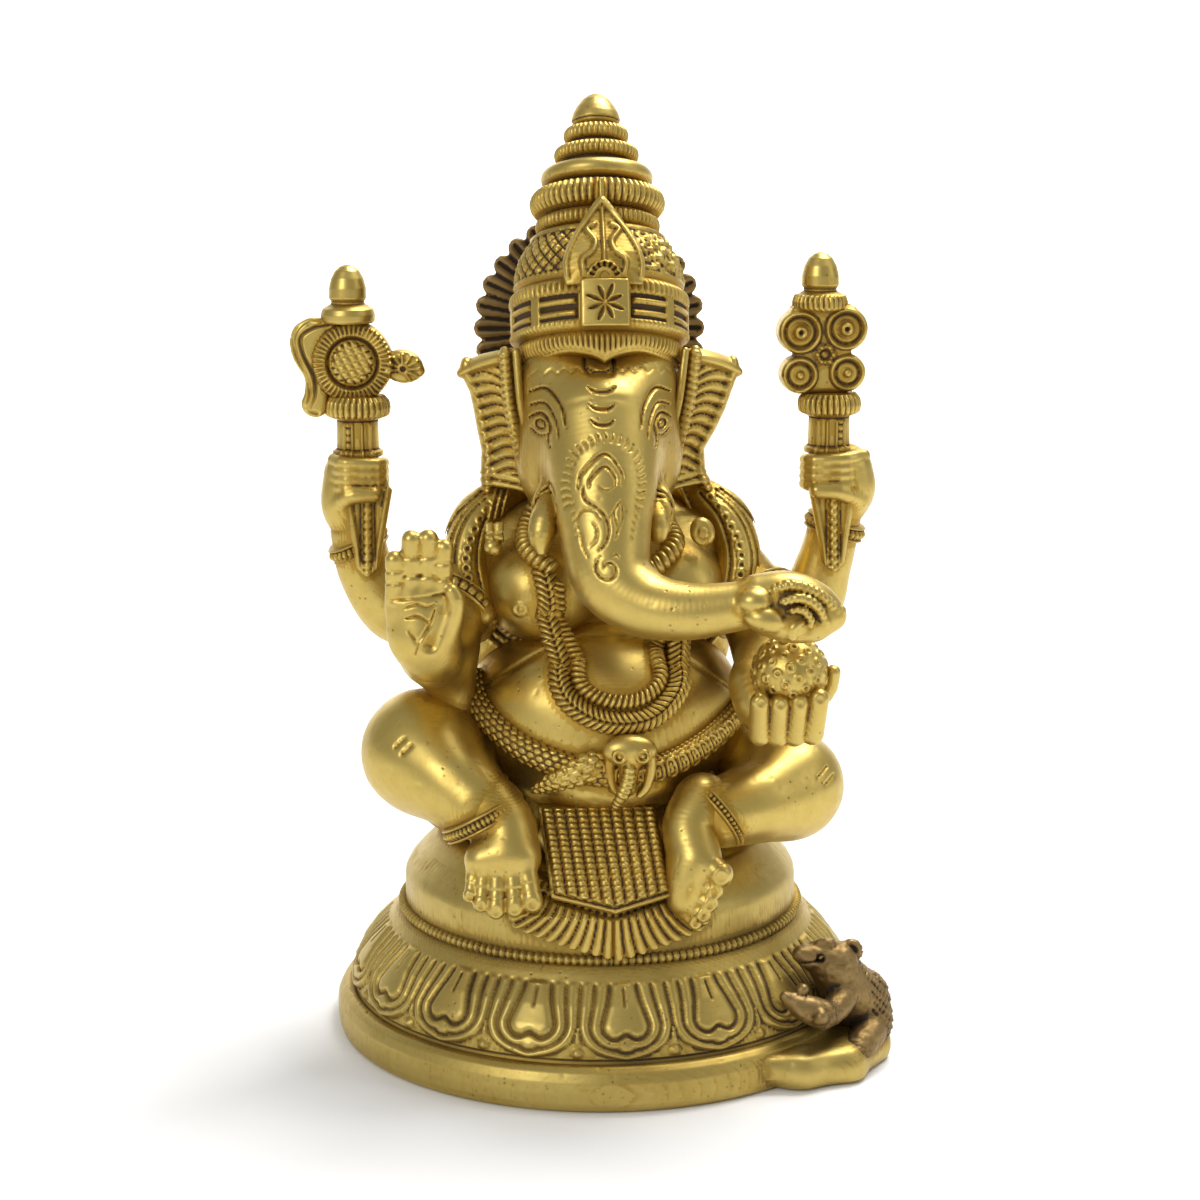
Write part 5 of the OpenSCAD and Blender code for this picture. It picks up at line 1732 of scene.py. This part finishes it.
def make_ledge(p):
    """A lug that grows out of the rim; the mouse sits on it."""
    z = p[:, 2]
    d = rod(p, (24, -40.0, 4.6), (34, -39.5, 3.2), 3.6, 3.6)
    d = smin(d, rod(p, (34, -38.8, 3.2), (42, -36.0, 2.6), 4.4, 4.6), 2.5)
    d = smin(d, rod(p, (42, -35.0, 2.6), (47.5, -26, 2.6), 4.6, 5.4), 2.0)
    d = smax(d, z - 7.0, 1.5)
    return smax(d, -z + 0.02, 0.3) - rough(p, 0.15, 90) * (z > 0.5)


def mouse_shape(p):
    """The smooth mouse, before its fur."""
    body, _ = tube(p, [[46.4, -20, 8.5, 5.6], [46.8, -24.5, 10.6, 6.0], [44.4, -27.5, 14.0, 5.2],
                       [41.6, -29, 18.0, 4.4]], 14)
    head, _ = tube(p, [[41.8, -28.8, 19.6, 4.0], [38.8, -29.6, 20.6, 3.3], [35.0, -31.0, 22.0, 1.6]], 10)
    d = smin(body, head, 1.0)
    ear = egg(p, (44.6, -28.4, 21.6), (2.2, 1.3, 2.3), turn_y(20))
    ear = smax(ear, -egg(p, (44.4, -29.8, 21.8), (1.4, 1.2, 1.4)), 0.3)
    d = smin(d, ear, 0.5)
    d = smin(d, egg(p, (39.4, -30.0, 23.4), (2.2, 1.4, 1.3), turn_y(-15)), 0.6)
    d = smin(d, egg(p, (49.0, -26.4, 7.4), (4.0, 5.2, 4.8)), 1.2)
    hind, _ = tube(p, [[48.0, -30.5, 6.4, 3.2], [45.0, -35, 4.6, 2.8], [42.0, -38.4, 3.0, 2.2]], 10)
    d = smin(d, hind, 0.8)
    fore, _ = tube(p, [[43.4, -30.6, 14.4, 3.0], [40.8, -34.6, 12.6, 2.5], [38.0, -37.4, 12.4, 2.6]], 10)
    return smin(d, fore, 0.8)


def make_mouse(p):
    """The mouse with its eye, its mouth and its hatched fur."""
    d = mouse_shape(p)
    d = smax(d, -ball(p, (38.4, -32.6, 21.6), 0.8), 0.2)
    d = np.minimum(d, ball(p, (38.5, -32.3, 21.6), 0.6))
    fur = hash_noise(p, 0.8, 91)
    hatch = ((ribs(p[:, 0] + p[:, 2] * 0.8, 1.3, 0.8) * ribs(p[:, 0] - p[:, 2] * 0.9, 1.3, 0.8) - 0.4)
             * (p[:, 0] > 46) * (p[:, 1] > -31))
    mouth = ridge(p[:, 2] - 20.2 - 0.25 * (p[:, 0] - 34), 0.4) * (p[:, 0] < 39) * (p[:, 2] > 18)
    return d - 0.14 * fur - 0.4 * hatch + 0.35 * mouth


def make_mouse_sweet(p):
    """The sweet in the mouse's paws."""
    d, _ = tube(p, [[38.0, -37.4, 12.8, 2.8], [34.6, -38.0, 14.4, 2.4], [31.0, -38.4, 16.6, 1.1]], 10)
    d = smin(d, ball(p, (37.4, -40.0, 13.2), 1.5), 0.4)
    d = smin(d, ball(p, (34.4, -37.6, 17.4), 1.2), 0.5)
    return d - 0.2 * hash_noise(p, 1.2, 93)


carve("rim_lug", "mouse_ledge", make_ledge, 0.36, 1.2, low=(-60, -60, 0.0), slot="base_brass")
carve("mouse_body", "mouse", make_mouse, 0.26, 1.5, low=(-60, -60, 0.6), slot="aged_brass")
carve("mouse_treat", "mouse_sweet", make_mouse_sweet, 0.26, slot="aged_brass")


# ---------------------------------------------------------------- sculpt every queued piece

def run_job(job):
    """Meshes one queued piece."""
    name, nodes, slot, shape, low, high, step = job
    return name, nodes, slot, sculpt(shape, low, high, step)


WORKERS = 4
with ThreadPoolExecutor(WORKERS) as pool:
    for name, nodes, slot, mesh in pool.map(run_job, JOBS):
        piece(name, nodes, mesh, slot)


# ---------------------------------------------------------------- patina and painted shade from the shape

def blur(grid, sigma):
    """Three box filters on each axis, close to a Gaussian of the given radius in cells."""
    n = max(1, int(round(math.sqrt(12 * sigma * sigma / 3 + 1) - 1) // 2))
    width = 2 * n + 1
    for axis in range(3):
        for _ in range(3):
            pad = [(0, 0)] * 3
            pad[axis] = (n + 1, n)
            total = np.cumsum(np.pad(grid, pad), axis=axis, dtype=np.float64)
            upper = [slice(None)] * 3
            lower = [slice(None)] * 3
            upper[axis], lower[axis] = slice(width, None), slice(0, -width)
            grid = ((total[tuple(upper)] - total[tuple(lower)]) / width).astype(np.float32)
    return grid


def crowding(cell, sigma, ahead):
    """How much more surface lies in front of each vertex than in front of a flat sheet."""
    verts = np.concatenate([p["verts"] for p in PIECES])
    norms = np.concatenate([p["normals"] for p in PIECES])
    areas = np.concatenate([p["areas"] for p in PIECES])
    low = verts.min(0) - 6 * cell * sigma
    n = (np.ceil((verts.max(0) - low) / cell) + 6 * sigma).astype(int)

    def spot(points):
        return np.clip(((points - low) / cell).astype(int), 0, n - 1)

    at = spot(verts)
    flat = np.ravel_multi_index(at.T, n)
    grid = np.bincount(flat, areas, int(np.prod(n))).reshape(n).astype(np.float32)
    grid = blur(grid, sigma) / cell**3
    probe = spot(verts + norms * ahead)
    radius = sigma * cell
    expected = math.exp(-0.5 * (ahead / radius) ** 2) / (radius * math.sqrt(TAU))
    return grid[probe[:, 0], probe[:, 1], probe[:, 2]] / expected - 1


def triangles(faces):
    """The faces as blocks of triangles."""
    for f in faces:
        yield from [f] if f.shape[1] == 3 else [f[:, [0, 1, 2]], f[:, [0, 2, 3]]]


def crossed(verts, t):
    """The normal of each triangle, twice as long as its area."""
    return np.cross(verts[t[:, 1]] - verts[t[:, 0]], verts[t[:, 2]] - verts[t[:, 0]])


def vertex_areas(verts, faces):
    """A third of the area of the triangles round each vertex."""
    out = np.zeros(len(verts))
    for t in triangles(faces):
        area = 0.5 * np.linalg.norm(crossed(verts, t), axis=1)
        for c in range(3):
            out += np.bincount(t[:, c], area / 3, len(verts))
    return out


def vertex_normals(verts, faces):
    """Unit normals, weighted by area."""
    out = np.zeros_like(verts)
    for t in triangles(faces):
        n = crossed(verts, t)
        for c in range(3):
            for a in range(3):
                out[:, a] += np.bincount(t[:, c], n[:, a], len(verts))
    return out / (np.linalg.norm(out, axis=1, keepdims=True) + 1e-12)


def neighbour_mean(values, edges, count):
    """Mean of the values at the neighbours of each vertex."""
    total = np.zeros_like(values)
    for a in range(values.shape[1]):
        total[:, a] = (np.bincount(edges[:, 0], values[edges[:, 1], a], len(values))
                       + np.bincount(edges[:, 1], values[edges[:, 0], a], len(values)))
    return total / count[:, None]


def hollow_measure(verts, normals, faces):
    """Depth of each vertex below its smoothed surroundings, in millimetres."""
    edges = np.vstack([np.stack([f[:, i], f[:, (i + 1) % f.shape[1]]], 1) for f in faces
                       for i in range(f.shape[1])])
    count = np.bincount(edges.ravel(), minlength=len(verts)).clip(1)
    soft = verts
    for _ in range(6):
        soft = 0.5 * soft + 0.5 * neighbour_mean(soft, edges, count)
    return np.einsum("ij,ij->i", soft - verts, normals)


def signed_volume(verts, faces):
    """Volume of a closed mesh; it is negative where the faces point inwards."""
    total = 0.0
    for t in triangles(faces):
        a, b, c = verts[t[:, 0]], verts[t[:, 1]], verts[t[:, 2]]
        total += float(np.einsum("ij,ij->i", a, np.cross(b, c)).sum()) / 6
    return total


def finish_pieces():
    """Turns faces outwards and measures every piece."""
    for p in PIECES:
        if signed_volume(p["verts"], p["faces"]) < 0:
            p["faces"] = [f[:, ::-1] for f in p["faces"]]
        p["normals"] = vertex_normals(p["verts"], p["faces"])
        p["areas"] = vertex_areas(p["verts"], p["faces"])
        p["hollow"] = hollow_measure(p["verts"], p["normals"], p["faces"])
    # The foot ring is made darker as a whole by this amount, added to its wide value.
    plinth_darkening = 0.8
    # near: surface crowding close in front of each vertex; it darkens tight crevices and joints, partly as
    # patina and partly as painted shade where pieces meet.
    near = crowding(0.5, 1.4, 0.9)
    # wide: broad surface crowding, a painted shade that darkens deep crevices, the space under things and the
    # gaps between pieces.
    wide = crowding(1.0, 2.6, 3.0)
    start = 0
    for p in PIECES:
        n = len(p["verts"])
        p["near"] = near[start:start + n]
        p["wide"] = wide[start:start + n] + plinth_darkening * ("plinth" in p["nodes"])
        start += n


def make_object(p, material):
    """Makes the Blender object of one piece."""
    mesh = bpy.data.meshes.new(p["name"])
    verts = p["verts"] * MM
    corner_count = sum(f.size for f in p["faces"])
    face_count = sum(len(f) for f in p["faces"])
    mesh.vertices.add(len(verts))
    mesh.vertices.foreach_set("co", verts.astype(np.float32).ravel())
    mesh.loops.add(corner_count)
    mesh.loops.foreach_set("vertex_index", np.concatenate([f.ravel() for f in p["faces"]]).astype(np.int32))
    mesh.polygons.add(face_count)
    sizes = np.concatenate([np.full(len(f), f.shape[1]) for f in p["faces"]])
    mesh.polygons.foreach_set("loop_start", np.concatenate([[0], np.cumsum(sizes)[:-1]]).astype(np.int32))
    mesh.update(calc_edges=True)
    mesh.polygons.foreach_set("use_smooth", np.ones(face_count, bool))
    # hollow carries the patina; near carries patina and painted shade; wide carries painted shade, with the
    # foot ring's extra darkening.
    for name in ("hollow", "near", "wide"):
        data = mesh.attributes.new(name, "FLOAT", "POINT")
        data.data.foreach_set("value", p[name].astype(np.float32))
    mesh.update()
    obj = bpy.data.objects.new(p["name"], mesh)
    bpy.context.scene.collection.objects.link(obj)
    mesh.materials.append(material)
    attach(obj, "root")
    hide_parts(*p["nodes"])
    return obj


# ---------------------------------------------------------------- brass

class Nodes:
    """Short names for the few node types that the brass needs."""

    def __init__(self, name):
        self.mat = bpy.data.materials.new(name)
        self.mat.use_nodes = True
        self.tree = self.mat.node_tree
        self.shader = self.tree.nodes["Principled BSDF"]

    def new(self, kind, **settings):
        node = self.tree.nodes.new(kind)
        for key, value in settings.items():
            setattr(node, key, value)
        return node

    def link(self, a, b):
        self.tree.links.new(a, b)

    def attribute(self, name):
        return self.new("ShaderNodeAttribute", attribute_name=name).outputs["Fac"]

    def math(self, operation, a, b=None, clamp=False):
        node = self.new("ShaderNodeMath", operation=operation, use_clamp=clamp)
        for i, value in enumerate((a, b)):
            if value is None:
                continue
            if isinstance(value, (int, float)):
                node.inputs[i].default_value = value
            else:
                self.link(value, node.inputs[i])
        return node.outputs[0]

    def span(self, value, low, high, out_low=0.0, out_high=1.0):
        node = self.new("ShaderNodeMapRange", interpolation_type="SMOOTHSTEP")
        self.link(value, node.inputs["Value"])
        for key, number in (("From Min", low), ("From Max", high), ("To Min", out_low), ("To Max", out_high)):
            node.inputs[key].default_value = number
        return node.outputs["Result"]

    def noise(self, scale, detail=4.0, rough=0.55):
        node = self.new("ShaderNodeTexNoise")
        self.link(self.coords, node.inputs["Vector"])
        node.inputs["Scale"].default_value = scale
        node.inputs["Detail"].default_value = detail
        node.inputs["Roughness"].default_value = rough
        return node.outputs["Fac"]

    def mix(self, factor, a, b, blend="MIX"):
        node = self.new("ShaderNodeMix", data_type="RGBA", blend_type=blend)
        for value, socket in ((factor, node.inputs[0]), (a, node.inputs[6]), (b, node.inputs[7])):
            if isinstance(value, (int, float)):
                socket.default_value = value
            elif isinstance(value, tuple):
                socket.default_value = (*value, 1)
            else:
                self.link(value, socket)
        return node.outputs[2]


def brass(name, bright, warm, dark, roughness, soil, cut):
    """Cast brass: bright metal, warm half tones, and dark patina that stays in the hollows, with painted
    shade from the crowding of nearby surfaces darkening crevices and the gaps between pieces.
    """
    n = Nodes(name)
    n.coords = n.new("ShaderNodeTexCoord").outputs["Object"]
    hollow = n.span(n.attribute("hollow"), 0.004, 0.075)
    # near adds patina and painted shade in tight crevices and joints.
    near = n.span(n.attribute("near"), 0.1, 0.9)
    # wide is painted shade in deep crevices, under things and between pieces.
    wide = n.span(n.attribute("wide"), 0.0, 1.3)
    cloud = n.math("ADD", n.math("MULTIPLY", n.noise(48.0, 6.0, 0.65), 0.65),
                   n.math("MULTIPLY", n.noise(16.0), 0.35))
    grain = n.noise(420.0, 6.0, 0.7)
    # raw sums the patina in hollows, the painted shade from near and wide, mottling noise and the soil
    # offset.
    raw = n.math("ADD", n.math("MULTIPLY", hollow, cut), n.math("MULTIPLY", near, 0.55))
    raw = n.math("ADD", raw, n.math("MULTIPLY", wide, 0.22))
    raw = n.math("ADD", raw, n.math("MULTIPLY", n.math("SUBTRACT", cloud, 0.5), 1.5))
    raw = n.math("ADD", raw, soil)
    # tone and the span below both follow raw, so the half tones and the dark mix hold patina and painted
    # shade together.
    tone = n.span(raw, 0.05, 0.75)
    patina_and_painted_shade = n.span(raw, 0.72, 1.45)
    metal = n.mix(n.span(grain, 0.3, 0.7, 0.0, 0.25), bright, warm)
    colour = n.mix(tone, metal, warm)
    colour = n.mix(patina_and_painted_shade, colour, dark)
    pit = n.new("ShaderNodeTexVoronoi")
    n.link(n.coords, pit.inputs["Vector"])
    pit.inputs["Scale"].default_value = 620.0
    pitted = n.math("MULTIPLY", n.span(pit.outputs["Distance"], 0.0, 0.25, 1.0, 0.0),
                    n.span(n.noise(130.0), 0.5, 0.62))
    colour = n.mix(n.math("MULTIPLY", pitted, 0.7), colour, dark)
    n.link(colour, n.shader.inputs["Base Color"])
    n.link(n.math("SUBTRACT", 1.0, n.math("MULTIPLY", patina_and_painted_shade, 0.55)), n.shader.inputs["Metallic"])
    rough = n.math("ADD", n.math("MULTIPLY", tone, 0.12), n.math("MULTIPLY", patina_and_painted_shade, 0.2))
    rough = n.math("ADD", rough, n.math("MULTIPLY", n.math("SUBTRACT", grain, 0.5), 0.25))
    rough = n.math("ADD", rough, roughness, clamp=True)
    n.link(rough, n.shader.inputs["Roughness"])
    height = n.math("SUBTRACT", n.math("MULTIPLY", grain, 0.35), n.math("MULTIPLY", pitted, 1.0))
    bump = n.new("ShaderNodeBump")
    bump.inputs["Strength"].default_value = 0.5
    bump.inputs["Distance"].default_value = 0.00012
    n.link(height, bump.inputs["Height"])
    n.link(bump.outputs["Normal"], n.shader.inputs["Normal"])
    return n.mat


def plain(name, colour, roughness):
    """A material with one colour."""
    n = Nodes(name)
    n.shader.inputs["Base Color"].default_value = (*colour, 1)
    n.shader.inputs["Roughness"].default_value = roughness
    return n.mat


# The third colour of each brass is the dark of its patina and of its painted shade.
MATERIALS = {"figure_brass": brass("figure_brass", (0.60, 0.45, 0.13), (0.47, 0.30, 0.055),
                                   (0.075, 0.043, 0.016), 0.39, 0.05, 0.68),
             "base_brass": brass("base_brass", (0.54, 0.41, 0.125), (0.42, 0.285, 0.065),
                                 (0.075, 0.046, 0.018), 0.43, 0.14, 0.36),
             "aged_brass": brass("aged_brass", (0.40, 0.28, 0.12), (0.22, 0.14, 0.05), (0.03, 0.019, 0.011),
                                 0.44, 0.36, 0.75),}

finish_pieces()
for entry in PIECES:
    make_object(entry, MATERIALS[entry["slot"]])


# ---------------------------------------------------------------- stage, camera and light

def backdrop():
    """A floor that curves up into a wall behind the figure."""
    rise = [(-3.0, 0.0), (0.9, 0.0)]
    rise += [(0.9 + 0.9 * math.sin(a), 0.9 - 0.9 * math.cos(a)) for a in np.linspace(0, math.pi / 2, 17)[1:]]
    rise += [(1.8, 4.0)]
    verts = [(x, y, z) for y, z in rise for x in (-4.0, 4.0)]
    faces = [(2 * i, 2 * i + 1, 2 * i + 3, 2 * i + 2) for i in range(len(rise) - 1)]
    mesh = bpy.data.meshes.new("backdrop")
    mesh.from_pydata(verts, [], faces)
    mesh.polygons.foreach_set("use_smooth", [True] * len(faces))
    obj = bpy.data.objects.new("backdrop", mesh)
    mesh.materials.append(plain("paper", (0.95, 0.95, 0.945), 0.9))
    bpy.context.scene.collection.objects.link(obj)


def area_light(name, at, aim, size, power, colour=(1, 1, 1)):
    """A rectangular lamp aimed at a point."""
    data = bpy.data.lights.new(name, "AREA")
    data.shape, data.size, data.size_y = "RECTANGLE", size[0], size[1]
    data.energy, data.color = power, colour
    obj = bpy.data.objects.new(name, data)
    direction = np.array(aim, float) - np.array(at, float)
    obj.location = at
    obj.rotation_euler = (math.atan2(math.hypot(direction[0], direction[1]), -direction[2]), 0,
                          math.atan2(direction[1], direction[0]) - math.pi / 2)
    bpy.context.scene.collection.objects.link(obj)


def camera():
    """Slightly above the figure, looking a little down and a little from its right."""
    height = CAD_BOX[1][2] - CAD_BOX[0][2]
    yaw, pitch, distance = math.radians(-3.5), math.radians(11.24), 2.6 * height
    data = bpy.data.cameras.new("camera")
    data.lens, data.sensor_width = 74.01, 36.0
    data.clip_start, data.clip_end = 0.01, 20.0
    obj = bpy.data.objects.new("camera", data)
    obj.location = (distance * math.sin(yaw), -distance * math.cos(yaw), 0.983 * height)
    obj.rotation_euler = (math.pi / 2 - pitch, 0, yaw)
    bpy.context.scene.collection.objects.link(obj)
    bpy.context.scene.camera = obj


backdrop()
camera()
area_light("key", (0.35, 0.25, 1.05), (0, 0, 0.08), (0.55, 0.55), 11.0)
area_light("front", (-0.75, -0.95, 0.75), (0, 0, 0.09), (0.45, 0.6), 5.2)
area_light("side", (1.0, -0.35, 0.55), (0, 0, 0.09), (0.3, 0.7), 0.9)
area_light("wall", (0, 0.9, 0.9), (0, 2.2, 0.5), (2.2, 1.0), 24.0)
world = bpy.data.worlds.new("world")
world.use_nodes = True
world.node_tree.nodes["Background"].inputs["Color"].default_value = (1, 1, 1, 1)
world.node_tree.nodes["Background"].inputs["Strength"].default_value = 0.40
bpy.context.scene.world = world
bpy.context.scene.view_settings.view_transform = "Standard"
